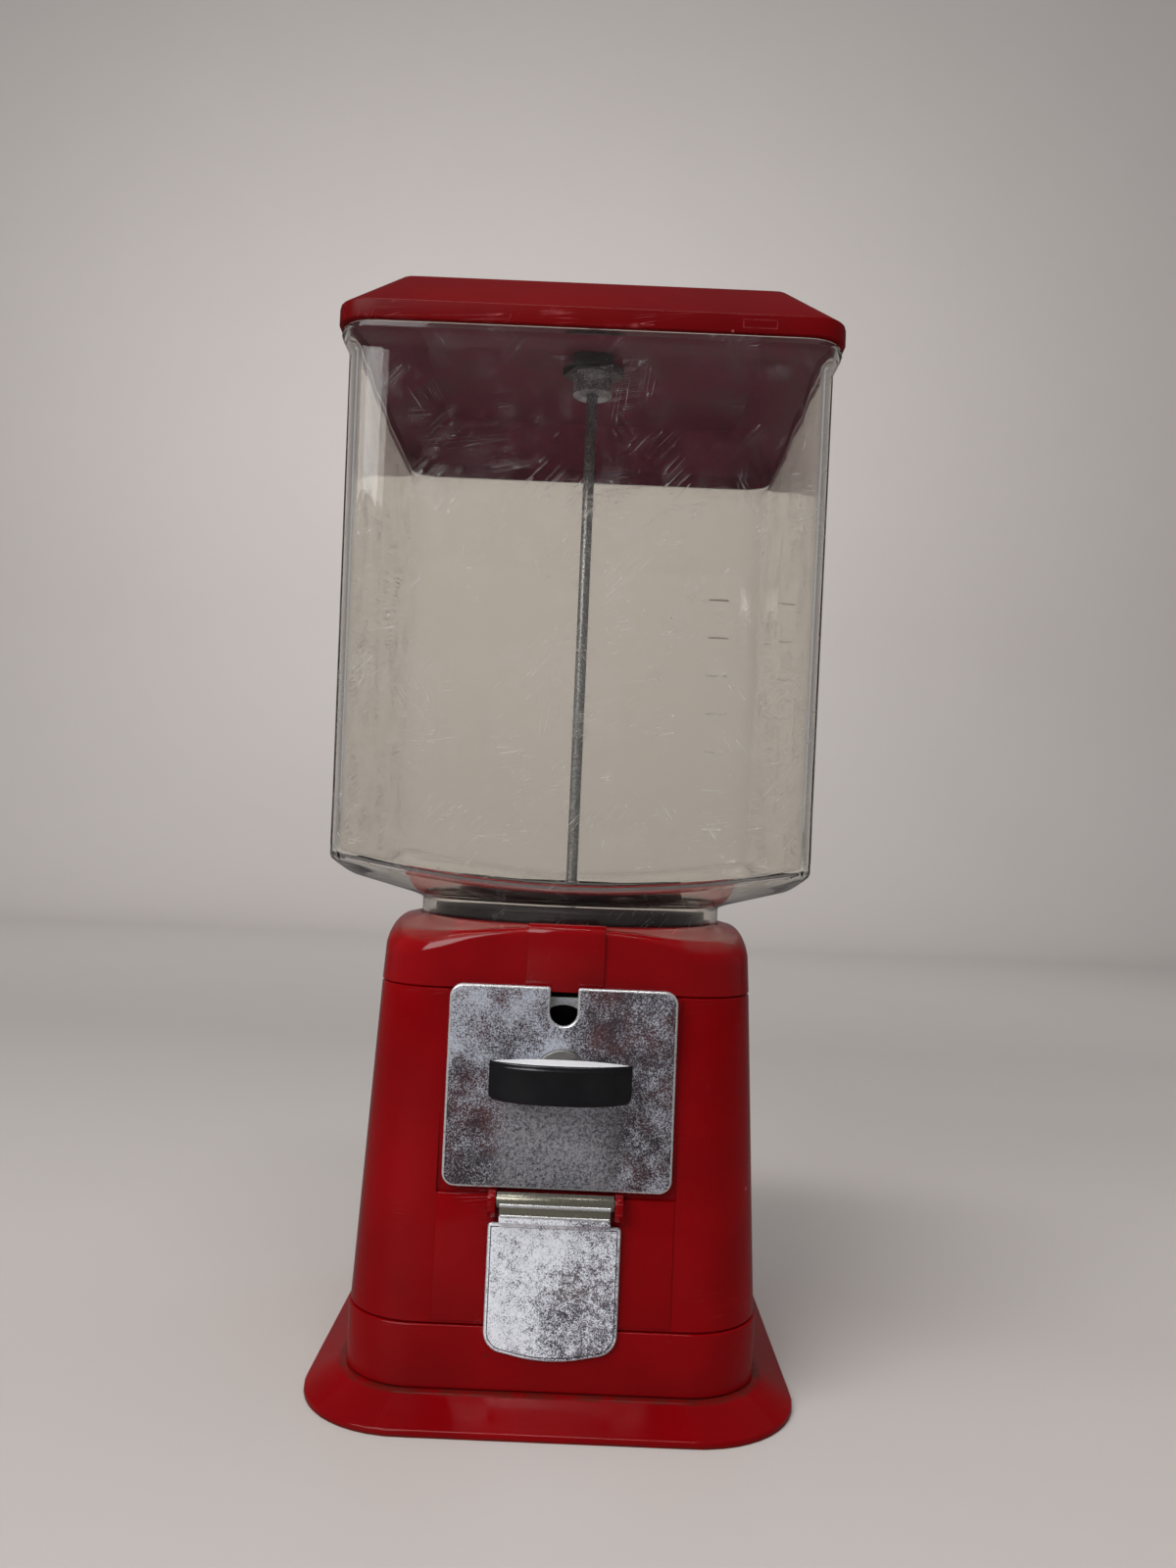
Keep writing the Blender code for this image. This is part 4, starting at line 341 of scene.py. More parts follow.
# Four sets of fine scratches: scale, direction, share and seed
clearScratches = ((760.0, 0.75, 0.48, 0.0), (640.0, -0.60, 0.44, 4.0), (900.0, 1.40, 0.49, 7.0),
                  (520.0, 0.15, 0.42, 9.0))
clearMarks = {
    "haze": {"group": "blotches", "Scale": 30.0, "Detail": 7.0, "Roughness": 0.72, "Low": 0.52, "High": 0.80,
             "Seed": 2.0},
    "smears": {"group": "blotches", "Scale": 44.0, "Detail": 5.0, "Roughness": 0.6, "Low": 0.56, "High": 0.72,
               "Seed": 5.0},
    "specks": {"group": "specks", "Scale": 60.0, "Size": 0.030, "Share": 0.12},
    "dust": {"group": "specks", "Scale": 240.0, "Size": 0.10, "Share": 0.05}}
clearRough = {"lines": 0.34, "haze": 0.05, "smears": 0.07, "least": 0.012}
clearFilm = {"lines": 0.20, "haze": 0.025, "smears": 0.035}


def makeClear(name, frost=0.0, blur=0.0, veilColour=clear["veil"]):
    look = Look(name, clear["tint"], clear["plain"], Transmission_Weight=1.0, IOR=clear["refraction"])
    lines = look.most(*[
        look.mask("scratches", Scale=scale, Stretch=34.0, Turn=turn, Width=0.007, Share=share, Seed=seed)
        for scale, turn, share, seed in clearScratches])
    haze, smears, specks, dust = (look.mask(**clearMarks[key]) for key in ("haze", "smears", "specks", "dust"))
    rough = look.plus(look.times(lines, clearRough["lines"]), look.times(haze, clearRough["haze"]))
    rough = look.plus(rough, look.times(smears, clearRough["smears"]))
    look.drive("Roughness", look.plus(rough, clearRough["least"] + blur))
    dirty = look.most(specks, look.times(dust, haze))
    colour = look.blend(look.times(lines, clear["lineShare"]), clear["tint"], clear["scratched"])
    look.drive("Base Color", look.blend(dirty, colour, clear["speck"]))
    look.bump(look.times(lines, -1.0), *clear["bump"])
    # A thin pale veil of scuffs over the clear shader, and lamps shine through
    film = look.plus(look.times(lines, clearFilm["lines"]), look.times(smears, clearFilm["smears"]))
    film = look.plus(film, look.times(haze, clearFilm["haze"]))
    handled = look.mask("zone", Low_Z=clear["handledFrom"], Soft=0.006)
    handled = look.plus(look.times(handled, 1 - clear["leastHandled"]), clear["leastHandled"])
    veil = addNode(look.tree, "ShaderNodeBsdfDiffuse", Color=(*veilColour, 1)).outputs["BSDF"]
    veiled = look.over(look.plus(look.times(film, handled), frost), look.shader.outputs["BSDF"], veil)
    through = addNode(look.tree, "ShaderNodeBsdfTransparent", Color=clear["shadow"]).outputs["BSDF"]
    path = addNode(look.tree, "ShaderNodeLightPath").outputs
    whole = look.over(path["Is Shadow Ray"], veiled, through)
    look.tree.links.new(whole, look.tree.nodes["Material Output"].inputs["Surface"])
    return look.material


clearLook = makeClear("clearPlastic")
clearRubbedEdgeHighlightLook = makeClear("clearRubbedEdgeHighlight", 0.17, 0.12, (0.80, 0.77, 0.74))  # rubbed edges, pale partly from wear and partly as a painted highlight
clearMarkLook = makeClear("clearPlasticMark", 0.88, 0.30, (0.96, 0.96, 0.97))


plateMarks = {
    "large": {"group": "blotches", "Detail": 3.0, "Roughness": 0.55, "Low": 0.30, "High": 0.68, "Seed": 1.0},
    "patches": {"group": "blotches", "Detail": 6.0, "Roughness": 0.70, "Low": 0.36, "High": 0.64, "Seed": 12.0},
    "grit": {"group": "blotches", "Scale": 1700.0, "Detail": 2.0, "Roughness": 0.8, "Low": 0.33, "High": 0.67,
             "Seed": 9.0},
    "dots": {"group": "specks", "Scale": 900.0, "Size": 0.42, "Share": 0.5},
    "tint": {"group": "blotches", "Scale": 55.0, "Detail": 2.0, "Low": 0.4, "High": 0.7, "Seed": 20.0},
    "grain": {"group": "blotches", "Scale": 820.0, "Detail": 3.0, "Roughness": 0.8, "Low": 0.36, "High": 0.64,
              "Seed": 15.0}}
plateRule = {"stained": (0.40, 1.05), "dulled": (-0.05, 0.75), "rest": 0.66, "restPatches": 0.5,
             "restRange": (0.20, 1.20), "plain": 0.36, "roughness": (0.30, 0.58), "gritRise": 0.6,
             "bump": (0.00007, 0.6)}


def makeWornPlate(name, w):
    # Old plating in three tones: bright left-over, dulled, and dark stains broken up by fine grit
    rule = plateRule
    look = Look(name, w["bright"], rule["plain"], Metallic=w["metal"])
    large = look.mask(**plateMarks["large"], Scale=w["largeScale"])
    patches = look.mask(**plateMarks["patches"], Scale=w["patchScale"])
    grit, dots = look.mask(**plateMarks["grit"]), look.mask(**plateMarks["dots"])
    amount = look.plus(look.times(large, w["largeShare"]), look.times(patches, w["patchShare"]))
    amount = look.plus(amount, w["tarnish"])
    for zone, extra in w["zones"]:
        amount = look.plus(amount, look.times(look.mask("zone", **zone), extra))
    # Where the stain is half strength only the grit's pits hold it
    pitted = look.plus(amount, look.times(look.math("SUBTRACT", grit, 0.5), w["bite"]))
    stained, dulled = look.range(pitted, *rule["stained"]), look.range(pitted, *rule["dulled"])
    colour = look.blend(dulled, w["bright"], w["dull"])
    colour = look.blend(stained, colour, look.blend(look.mask(**plateMarks["tint"]), w["dark"], w["rust"]))
    colour = look.blend(look.times(dots, w["dotShare"]), colour, w["dark"])
    if "calm" in w:
        rest = look.times(look.mask("zone", **w["calm"]), rule["rest"])
        grain = look.plus(look.mask(**plateMarks["grain"]), look.times(patches, rule["restPatches"]))
        colour = look.blend(rest, colour, look.blend(look.range(grain, *rule["restRange"]), *w["calmTones"]))
    look.drive("Base Color", colour)
    look.drive("Roughness", look.range(stained, 0.0, 1.0, *rule["roughness"]))
    look.bump(look.math("SUBTRACT", look.times(grit, rule["gritRise"]), stained), *rule["bump"])
    return look.material


plateWear = {"bright": (0.60, 0.63, 0.72), "dull": (0.250, 0.245, 0.270), "dark": (0.038, 0.026, 0.034),
             "rust": (0.085, 0.026, 0.028), "metal": 0.40, "largeScale": 42.0, "patchScale": 115.0, "bite": 1.0,
             "largeShare": 0.46, "patchShare": 0.50, "tarnish": -0.04, "dotShare": 0.22,
             "zones": (({"Low_X": 0.012, "High_X": 0.05, "Low_Z": 0.130, "High_Z": 0.16, "Soft": 0.012}, 0.34),
                       ({"Low_X": -0.05, "High_X": -0.030, "Low_Z": 0.080, "High_Z": 0.126, "Soft": 0.012}, 0.30),
                       ({"Low_X": 0.022, "High_X": 0.05, "Low_Z": 0.088, "High_Z": 0.115, "Soft": 0.012}, 0.16)),
             "calm": {"Low_X": -0.016, "High_X": 0.014, "Low_Z": 0.086, "High_Z": 0.112, "Soft": 0.014},
             "calmTones": ((0.052, 0.047, 0.056), (0.440, 0.440, 0.475))}
doorWear = {"bright": (0.92, 0.95, 1.0), "dull": (0.66, 0.68, 0.76), "dark": (0.060, 0.052, 0.070),
            "rust": (0.13, 0.10, 0.10), "metal": 0.12, "largeScale": 70.0, "patchScale": 300.0, "bite": 0.9,
            "largeShare": 0.26, "patchShare": 0.50, "tarnish": -0.10, "dotShare": 0.34,
            "zones": (({"Low_X": 0.004, "High_X": 0.03, "Low_Z": 0.02, "High_Z": 0.044, "Soft": 0.022}, 0.44),
                      ({"Low_X": 0.010, "High_X": 0.03, "Low_Z": 0.058, "High_Z": 0.08, "Soft": 0.008}, 0.30))}
plateLook = makeWornPlate("mottledPlate", plateWear)
doorLook = makeWornPlate("mottledDoor", doorWear)


metalMarks = {
    "lines": {"group": "blotches", "Detail": 3.0, "Low": 0.3, "High": 0.7},
    "spots": {"group": "blotches", "Scale": 110.0, "Detail": 5.0, "Roughness": 0.7, "Low": 0.56, "High": 0.70,
              "Seed": 2.0}}
metalRule = {"uneven": 0.12, "bump": (0.00003, 0.5)}


def makeMetal(name, colour, roughness, brushed, stain=(0.16, 0.15, 0.13), stainShare=0.35, metallic=1.0):
    look = Look(name, colour, roughness, Metallic=metallic)
    lines, spots = look.mask(**metalMarks["lines"], Scale=brushed), look.mask(**metalMarks["spots"])
    look.drive("Base Color", look.blend(look.times(spots, stainShare), colour, stain))
    look.drive("Roughness", look.range(lines, 0.0, 1.0, roughness, roughness + metalRule["uneven"]))
    look.bump(lines, *metalRule["bump"])
    return look.material


# Polished wear on the plate's and door's edges; on the hinge's curl and bend bars its pale colour also paints highlight
# lines
edgeWearAndHighlightLook = makeMetal("polishedRimAndHighlight", (0.70, 0.70, 0.71), 0.20, 500.0, (0.26, 0.23, 0.21), 0.7, 0.6)
steelLook = makeMetal("zincSteel", (0.50, 0.51, 0.52), 0.26, 700.0, metallic=0.6)
hingeLook = makeMetal("hingeSteel", (0.24, 0.228, 0.180), 0.20, 600.0, (0.06, 0.05, 0.035), 0.6, 0.7)
discLook = makeMetal("handleDisc", (0.17, 0.165, 0.155), 0.34, 300.0, (0.07, 0.055, 0.05), 0.6, 0.6)
# Near-black metal for the door's pressed groove: painted shade in the recess
grooveShadeLook = makeMetal("pressedGrooveShade", (0.060, 0.056, 0.066), 0.50, 300.0)
handleMetalLook = makeMetal("bareHandleMetal", (0.97, 0.97, 0.98), 0.30, 420.0, (0.62, 0.58, 0.55), 0.4, 0.10)
rodLook = makeMetal("rodSteel", (0.26, 0.26, 0.265), 0.24, 900.0, stainShare=0.12, metallic=0.75)
# Near-black steel for the lock nut: painted shade, so that it is lost under the lid
lockNutShadeLook = makeMetal("lockNutPaintedShade", (0.055, 0.050, 0.052), 0.36, 600.0, (0.03, 0.02, 0.02), 0.5, 0.5)
brassLook = makeMetal("brass", (0.62, 0.44, 0.18), 0.30, 500.0, (0.25, 0.16, 0.06), 0.4)


dullMarks = {
    "clouds": {"group": "blotches", "Scale": 40.0, "Detail": 5.0, "Low": 0.40, "High": 0.75},
    "marks": {"group": "scratches", "Scale": 260.0, "Stretch": 16.0, "Turn": 1.5, "Width": 0.008, "Share": 0.45},
    "fine": {"group": "blotches", "Detail": 2.0, "Low": 0.3, "High": 0.7, "Seed": 4.0}}
dullRule = {"cloudShare": 0.6, "markShare": 0.3, "uneven": 0.14, "bump": (0.00004, 0.4)}


def makeDull(name, colour, roughness, other, grain, level=0.5):
    look = Look(name, colour, roughness, Specular_IOR_Level=level)
    clouds = look.mask(**dullMarks["clouds"])
    colour = look.blend(look.times(clouds, dullRule["cloudShare"]), colour, other)
    marks = look.times(look.mask(**dullMarks["marks"]), dullRule["markShare"])
    look.drive("Base Color", look.blend(marks, colour, other))
    look.drive("Roughness", look.range(clouds, 0.0, 1.0, roughness, roughness + dullRule["uneven"]))
    look.bump(look.mask(**dullMarks["fine"], Scale=grain), *dullRule["bump"])
    return look.material


gripLook = makeDull("blackGrip", (0.0035, 0.0030, 0.0045), 0.22, (0.012, 0.012, 0.014), 500.0, 0.50)
blackLook = makeDull("blackPlastic", (0.0045, 0.0030, 0.0038), 0.34, (0.014, 0.009, 0.012), 700.0, 0.22)
nylonLook = makeDull("whiteNylon", (0.70, 0.68, 0.60), 0.42, (0.52, 0.49, 0.41), 600.0)
rubberLook = makeDull("greyRubber", (0.09, 0.09, 0.09), 0.70, (0.14, 0.135, 0.13), 900.0)
print("materials ready")


ringSteps = 14  # per eighth of a turn
ringEase = 1.7
weld = 1e-7


def ringAngles():
    for octant in range(8):
        for step in range(ringSteps):
            share = step / ringSteps
            share = 1 - (1 - share) ** ringEase if octant % 2 == 0 else share ** ringEase
            yield math.radians(45 * (octant + share))


def squareRing(half, corner, z, lift=None):
    points = []
    for angle in ringAngles():
        across, along = abs(math.cos(angle)), abs(math.sin(angle))
        reach = half / max(across, along)
        flat = half - corner
        if min(across, along) * reach > flat:
            middle = flat * (across + along)
            reach = middle + math.sqrt(max(middle ** 2 - 2 * flat ** 2 + corner ** 2, 0))
        points.append((reach * math.cos(angle), reach * math.sin(angle), z if lift is None else lift(reach)))
    return points


def mix(a, b, share):
    return a + (b - a) * share


def turns(*angles):
    # The cosine and the sine of each angle, for rounded edges
    return [(math.cos(math.radians(angle)), math.sin(math.radians(angle))) for angle in angles]


def arc(centre, radius, start, end, steps=8):
    angles = [mix(start, end, i / steps) for i in range(steps + 1)]
    return [(centre[0] + radius * out, centre[1] + radius * up) for out, up in turns(*angles)]


def newPiece(name, mesh, *looks):
    made = bpy.data.objects.new(name, mesh)
    for look in looks:
        mesh.materials.append(look)
    sceneLink(made)
    return made


def meshFrom(bm, name):
    bmesh.ops.remove_doubles(bm, verts=bm.verts[:], dist=weld)
    bmesh.ops.recalc_face_normals(bm, faces=bm.faces[:])
    mesh = bpy.data.meshes.new(name)
    bm.to_mesh(mesh)
    bm.free()
    return mesh


def smooth(piece, angle=32.0):
    piece.data.shade_smooth()
    piece.data.set_sharp_from_angle(angle=math.radians(angle))
    return piece


def bridged(bm, rows):
    # Four-sided faces between rings of points that follow each other
    for low, high in rows:
        for i in range(len(low)):
            after = (i + 1) % len(low)
            bm.faces.new((low[i], low[after], high[after], high[i]))


def loft(name, rings, look, closed=False):
    bm = bmesh.new()
    rows = [[bm.verts.new(point) for point in ring] for ring in rings]
    bridged(bm, zip(rows, rows[1:]))
    if closed:
        bridged(bm, [(rows[-1], rows[0])])
    else:
        bm.faces.new(rows[0])
        bm.faces.new(rows[-1])
    return newPiece(name, meshFrom(bm, name), look)


def turned(name, profile, look, steps=64, place=Matrix()):
    # A closed profile of (radius, height) round Z
    bm = bmesh.new()
    rows = []
    for i in range(steps):
        t = 2 * math.pi * i / steps
        rows.append([bm.verts.new((r * math.cos(t), r * math.sin(t), z)) for r, z in profile])
    for i in range(steps):
        a, b = rows[i], rows[(i + 1) % steps]
        for j in range(len(profile)):
            k = (j + 1) % len(profile)
            if profile[j][0] == 0 and profile[k][0] == 0:
                continue
            corners = [a[j], b[j], b[k], a[k]]
            if profile[j][0] == 0:
                corners = [a[j], b[k], a[k]]
            elif profile[k][0] == 0:
                corners = [a[j], b[j], a[k]]
            bm.faces.new(corners)
    bm.transform(place)
    return newPiece(name, meshFrom(bm, name), look)


def prism(name, outline, low, high, look, axis="y"):
    # An outline of (x, z) points run along y, of (y, z) points along x, or of (x, y) points along z
    put = {"y": lambda a, b, c: (a, c, b), "x": lambda a, b, c: (c, a, b), "z": lambda a, b, c: (a, b, c)}[axis]
    bm = bmesh.new()
    near = [bm.verts.new(put(a, b, low)) for a, b in outline]
    far = [bm.verts.new(put(a, b, high)) for a, b in outline]
    bridged(bm, [(near, far)])
    bm.faces.new(near)
    bm.faces.new(far)
    return newPiece(name, meshFrom(bm, name), look)


def box(name, low, high, look):
    return prism(name, [(low[0], low[2]), (high[0], low[2]), (high[0], high[2]), (low[0], high[2])],
                 low[1], high[1], look)


def bar(name, radius, start, end, look, steps=32):
    run = Vector(end) - Vector(start)
    place = Matrix.Translation(start) @ run.to_track_quat("Z", "Y").to_matrix().to_4x4()
    return turned(name, [(0, 0), (radius, 0), (radius, run.length), (0, run.length)], look, steps, place)


def applied(piece):
    # The piece with its modifiers made real
    graph = bpy.context.evaluated_depsgraph_get()
    mesh = bpy.data.meshes.new_from_object(piece.evaluated_get(graph))
    piece.modifiers.clear()
    piece.data = mesh
    return piece


def combine(piece, others, operation):
    for other in others:
        step = piece.modifiers.new("shape", "BOOLEAN")
        step.operation = operation
        step.solver = "EXACT"
        step.object = other
        step.material_mode = "TRANSFER"
    applied(piece)
    for other in others:
        bpy.data.objects.remove(other, do_unlink=True)
    return piece


def rounded(piece, width, segments=3, angle=40.0, look=None):
    step = piece.modifiers.new("edges", "BEVEL")
    step.width = width
    step.segments = segments
    step.limit_method = "ANGLE"
    step.angle_limit = math.radians(angle)
    step.harden_normals = False
    if look is not None:
        piece.data.materials.append(look)
        step.material = len(piece.data.materials) - 1
    return smooth(applied(piece))


def finished(piece, body, slot, *nodes):
    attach(piece, body)
    if nodes:
        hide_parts(*nodes)
    return piece


wall = 0.0026
overrun = 0.004  # how far a cutter stands out of what it cuts

flange = {"half": 0.0962, "corner": 0.0420, "edge": 0.0022, "rise": 0.0107, "rim": 0.0008, "seat": 0.0007,
          "fillet": 0.0012, "footOfSlope": 0.0006, "topOfSlope": 0.0002, "rodHole": 0.0031}
band = {"half": 0.0810, "corner": 0.0294, "low": 0.0110, "high": 0.0344, "rim": 0.0007}
body = {"foot": 0.0803, "footCorner": 0.0287, "low": 0.0347, "high": 0.1593, "top": 0.0747, "topCorner": 0.0270,
        "panelHalf": 0.0452, "panelProud": 0.0006, "step": 0.0828, "mountFace": 0.0767, "rim": 0.0005,
        "panelRise": 0.0013, "panelDepth": 0.0013, "soft": 0.0004, "padInset": 0.0005, "front": 0.085,
        "room": {"half": 0.0318, "low": 0.0940, "front": 0.081, "back": 0.0669},
        "studHole": {"x": 0.0383, "radius": 0.0023, "front": 0.081, "back": 0.066}}
mouth = {"half": 0.0170, "low": 0.0274, "high": 0.0712, "front": 0.085, "back": 0.0695}


def makeFlange():
    f = flange
    half, corner, edge, rise, rim = f["half"], f["corner"], f["edge"], f["rise"], f["rim"]
    deck, deckCorner = band["half"] + f["seat"], band["corner"] + f["seat"]
    rings = [squareRing(deck - wall, deckCorner - wall, rise - wall),
             squareRing(half - wall, corner - wall, edge / 2),
             squareRing(half - wall, corner - wall, 0),
             squareRing(half - rim / 2, corner - rim / 2, 0)]
    for out, up in turns(20, 45, 70, 90):
        inset = rim / 2 * (1 - up)
        rings.append(squareRing(half - inset, corner - inset, rim / 2 * (1 - out)))
    for out, up in turns(0, 25, 50, 75):
        inset = rim * (1 - out)
        rings.append(squareRing(half - inset, corner - inset, edge - rim / 3 + rim * up))
    for share in (0.94, 1.0):
        rings.append(squareRing(mix(half, deck + f["fillet"], share), mix(corner, deckCorner + f["fillet"], share),
                                mix(edge + f["footOfSlope"], rise - f["topOfSlope"], share)))
    rings.append(squareRing(deck, deckCorner, rise))
    made = loft("baseFlange", rings, redLook)
    combine(made, [bar("hole", f["rodHole"], (0, 0, -overrun), (0, 0, 5 * overrun), redLook)], "DIFFERENCE")
    return finished(smooth(made), "machine", "red_plastic", "base_flange")


def newTree(name, kinds):
    # A Geometry Nodes tree with named inputs; gives the tree, its input and output nodes and the identifiers
    tree = bpy.data.node_groups.new(name, "GeometryNodeTree")
    tree.interface.new_socket("Geometry", in_out="OUTPUT", socket_type="NodeSocketGeometry")
    sockets = {label: tree.interface.new_socket(label, in_out="INPUT", socket_type="NodeSocket" + kind).identifier
               for label, kind in kinds.items()}
    return tree, tree.nodes.new("NodeGroupInput").outputs, tree.nodes.new("NodeGroupOutput"), sockets


def closeTree(tree, shape, material, result):
    real = addNode(tree, "GeometryNodeRealizeInstances", Geometry=shape)
    paint = addNode(tree, "GeometryNodeSetMaterial", Geometry=real.outputs["Geometry"], Material=material)
    tree.links.new(paint.outputs["Geometry"], result.inputs["Geometry"])


def grown(name, mesh, tree, sockets, values):
    # A piece made by its tree, then turned into a plain mesh
    made = newPiece(name, mesh)
    step = made.modifiers.new("rule", "NODES")
    step.node_group = tree
    for label, value in values.items():
        step[sockets[label]] = value
    return applied(made)


def makeBand():
    # Geometry Nodes: a rounded strip run round a rounded square
    b = band
    tree, given, result, sockets = newTree("squareBand", {"Size": "Float", "Corner": "Float", "Wall": "Float",
                                                          "Height": "Float", "Rim": "Float", "Middle": "Vector",
                                                          "Material": "Material"})
    square = {"mode": "RECTANGLE"}
    poly = {"mode": "POLY"}
    way = addNode(tree, "GeometryNodeCurvePrimitiveQuadrilateral", square, Width=given["Size"], Height=given["Size"])
    way = addNode(tree, "GeometryNodeFilletCurve", poly, Curve=way.outputs["Curve"], Count=2 * ringSteps,
                  Radius=given["Corner"])
    strip = addNode(tree, "GeometryNodeCurvePrimitiveQuadrilateral", square, Width=given["Wall"],
                    Height=given["Height"])
    strip = addNode(tree, "GeometryNodeFilletCurve", poly, Curve=strip.outputs["Curve"], Count=5, Radius=given["Rim"])
    swept = addNode(tree, "GeometryNodeCurveToMesh", Curve=way.outputs["Curve"], Profile_Curve=strip.outputs["Curve"])
    lifted = addNode(tree, "GeometryNodeTransform", Geometry=swept.outputs["Mesh"], Translation=given["Middle"])
    closeTree(tree, lifted.outputs["Geometry"], given["Material"], result)
    made = grown("baseBand", bpy.data.meshes.new("baseBand"), tree, sockets, {
        "Size": 2 * b["half"] - wall, "Corner": b["corner"] - wall / 2, "Wall": wall, "Height": b["high"] - b["low"],
        "Rim": b["rim"], "Middle": (0, 0, (b["low"] + b["high"]) / 2), "Material": redLook})
    turnedOut(made)
    combine(made, [mouthCutter()], "DIFFERENCE")
    return finished(smooth(made), "machine", "red_plastic", "base_band")


def turnedOut(piece):
    # Faces of a closed shell made to point outwards
    bm = bmesh.new()
    bm.from_mesh(piece.data)
    bmesh.ops.remove_doubles(bm, verts=bm.verts[:], dist=weld)
    bmesh.ops.recalc_face_normals(bm, faces=bm.faces[:])
    bm.to_mesh(piece.data)
    bm.free()


def mouthCutter():
    m = mouth
    return box("mouthCutter", (-m["half"], -m["front"], m["low"]), (m["half"], -m["back"], m["high"]), redLook)


makeFlange()
makeBand()
print("base ready")


ears = {"inner": 0.0224, "outer": 0.0255, "front": 0.0862, "low": 0.0756, "high": 0.0853, "pinY": 0.0834,
        "pinZ": 0.0824, "pinHole": 0.0017, "reach": 0.03}
plate = {"front": 0.0802, "thick": 0.0032, "half": 0.0438, "low": 0.0856, "high": 0.1620, "corner": 0.0050,
         "notch": 0.0053, "notchDepth": 0.0147, "notchLip": 0.0009, "edge": 0.0010, "shaftZ": 0.1280, "hole": 0.0045,
         "root": 0.0005, "post": {"radius": 0.0028, "across": 0.0278, "up": 0.0262, "end": 0.0737},
         "stud": {"radius": 0.0020, "across": 0.0383, "length": 0.0088}}


def bodyHalf(z):
    return mix(body["foot"], body["top"], (z - body["low"]) / (body["high"] - body["low"]))


def earPiece(side):
    root = -bodyHalf(ears["high"]) + wall / 2
    nose = ears["front"] - ears["pinY"]
    outline = [(root, ears["low"]), (root, ears["high"])]
    outline += arc((-ears["pinY"], ears["high"] - nose), nose, 90, 180, 8)
    outline += [(-ears["front"], ears["low"] + nose), (-ears["pinY"], ears["low"])]
    low, high = sorted((side * ears["inner"], side * ears["outer"]))
    return rounded(prism("ear", outline, low, high, redLook, "x"), body["soft"], 2)


def pinBar(name, radius, half, look, steps=32):
    # A round piece along the door's pin
    return bar(name, radius, (-half, -ears["pinY"], ears["pinZ"]), (half, -ears["pinY"], ears["pinZ"]), look, steps)


def makeBody():
    b = body
    foot, corner, top, topCorner = b["foot"], b["footCorner"], b["top"], b["topCorner"]
    low, high, rim, step = b["low"], b["high"], b["rim"], b["step"]
    rings = [squareRing(foot - rim, corner - rim, low), squareRing(foot, corner, low + rim)]
    rings += [squareRing(mix(foot, top, share), mix(corner, topCorner, share), mix(low, high, share))
              for share in (0.25, 0.5, 0.75)]
    rings += [squareRing(top, topCorner, high - rim), squareRing(top - rim, topCorner - rim, high),
              squareRing(top - wall, topCorner - wall, high), squareRing(foot - wall, corner - wall, low)]
    made = loft("bodyShell", rings, redLook, closed=True)
    half, rise, depth = b["panelHalf"], b["panelRise"], b["panelDepth"]
    outline = [(-bodyHalf(z) - b["panelProud"], z) for z in (low + rise, step)]
    outline += [(-bodyHalf(step) + depth, step), (-bodyHalf(low) + depth, low + rise)]
    panel = rounded(prism("panel", outline, -half, half, redLook, "x"), b["soft"], 2)
    pad = box("pad", (-half, -b["mountFace"], step), (half, -top + wall - b["padInset"], high), redLook)
    combine(made, [panel, pad], "UNION")
    recess = half + b["panelProud"]
    combine(made, [box("recess", (-recess, -b["front"], step), (recess, -b["mountFace"], high + overrun), redLook)],
            "DIFFERENCE")
    combine(made, [earPiece(-1), earPiece(1)], "UNION")
    room, stud = b["room"], b["studHole"]
    cutters = [box("room", (-room["half"], -room["front"], room["low"]), (room["half"], -room["back"], high + overrun),
                   redLook),
               mouthCutter(), pinBar("pinHole", ears["pinHole"], ears["reach"], redLook)]
    z = plate["shaftZ"]
    cutters += [bar("studHole", stud["radius"], (x, -stud["front"], z), (x, -stud["back"], z), redLook)
                for x in (-stud["x"], stud["x"])]
    combine(made, cutters, "DIFFERENCE")
    return finished(smooth(made, 28), "machine", "red_plastic", "body_shell")


makeBody()
print("body ready")


shoulder = {"half": 0.0740, "corner": 0.0270, "low": 0.1596, "top": 0.1847, "throat": 0.0666, "slope": 0.27,
            "fillet": 0.0026, "cornerFillet": 0.0125, "stripHalf": 0.0151, "stripProud": 0.0015,
            "throatLow": 0.1745, "ledge": 0.1692, "rim": 0.0005, "lipInset": 0.0006, "lipRise": 0.0001,
            "lipDrop": 0.0005, "stripRise": 0.0004, "stripSoft": 0.0004, "ledgeBore": 0.0595, "ledgeThick": 0.0025}
shoulderShares = (0, 0.12, 0.25, 0.38, 0.5, 0.62, 0.75, 0.88, 1)


def shoulderPoint(x, y, share, proud=0.0):
    s = shoulder
    reach = math.hypot(x, y)
    flat = s["half"] - s["corner"]
    diagonal = flat * math.sqrt(2) + s["corner"]
    fillet = mix(s["fillet"], s["cornerFillet"], max(0, (reach - s["half"]) / (diagonal - s["half"])) ** 2)
    angle = math.radians(90 * share)
    inside = reach - fillet * (1 - math.cos(angle)) + proud * math.cos(angle)
    z = s["top"] - s["slope"] * (reach - fillet - s["throat"] - wall) - fillet * (1 - math.sin(angle))
    return x * inside / reach, y * inside / reach, z + proud * math.sin(angle)


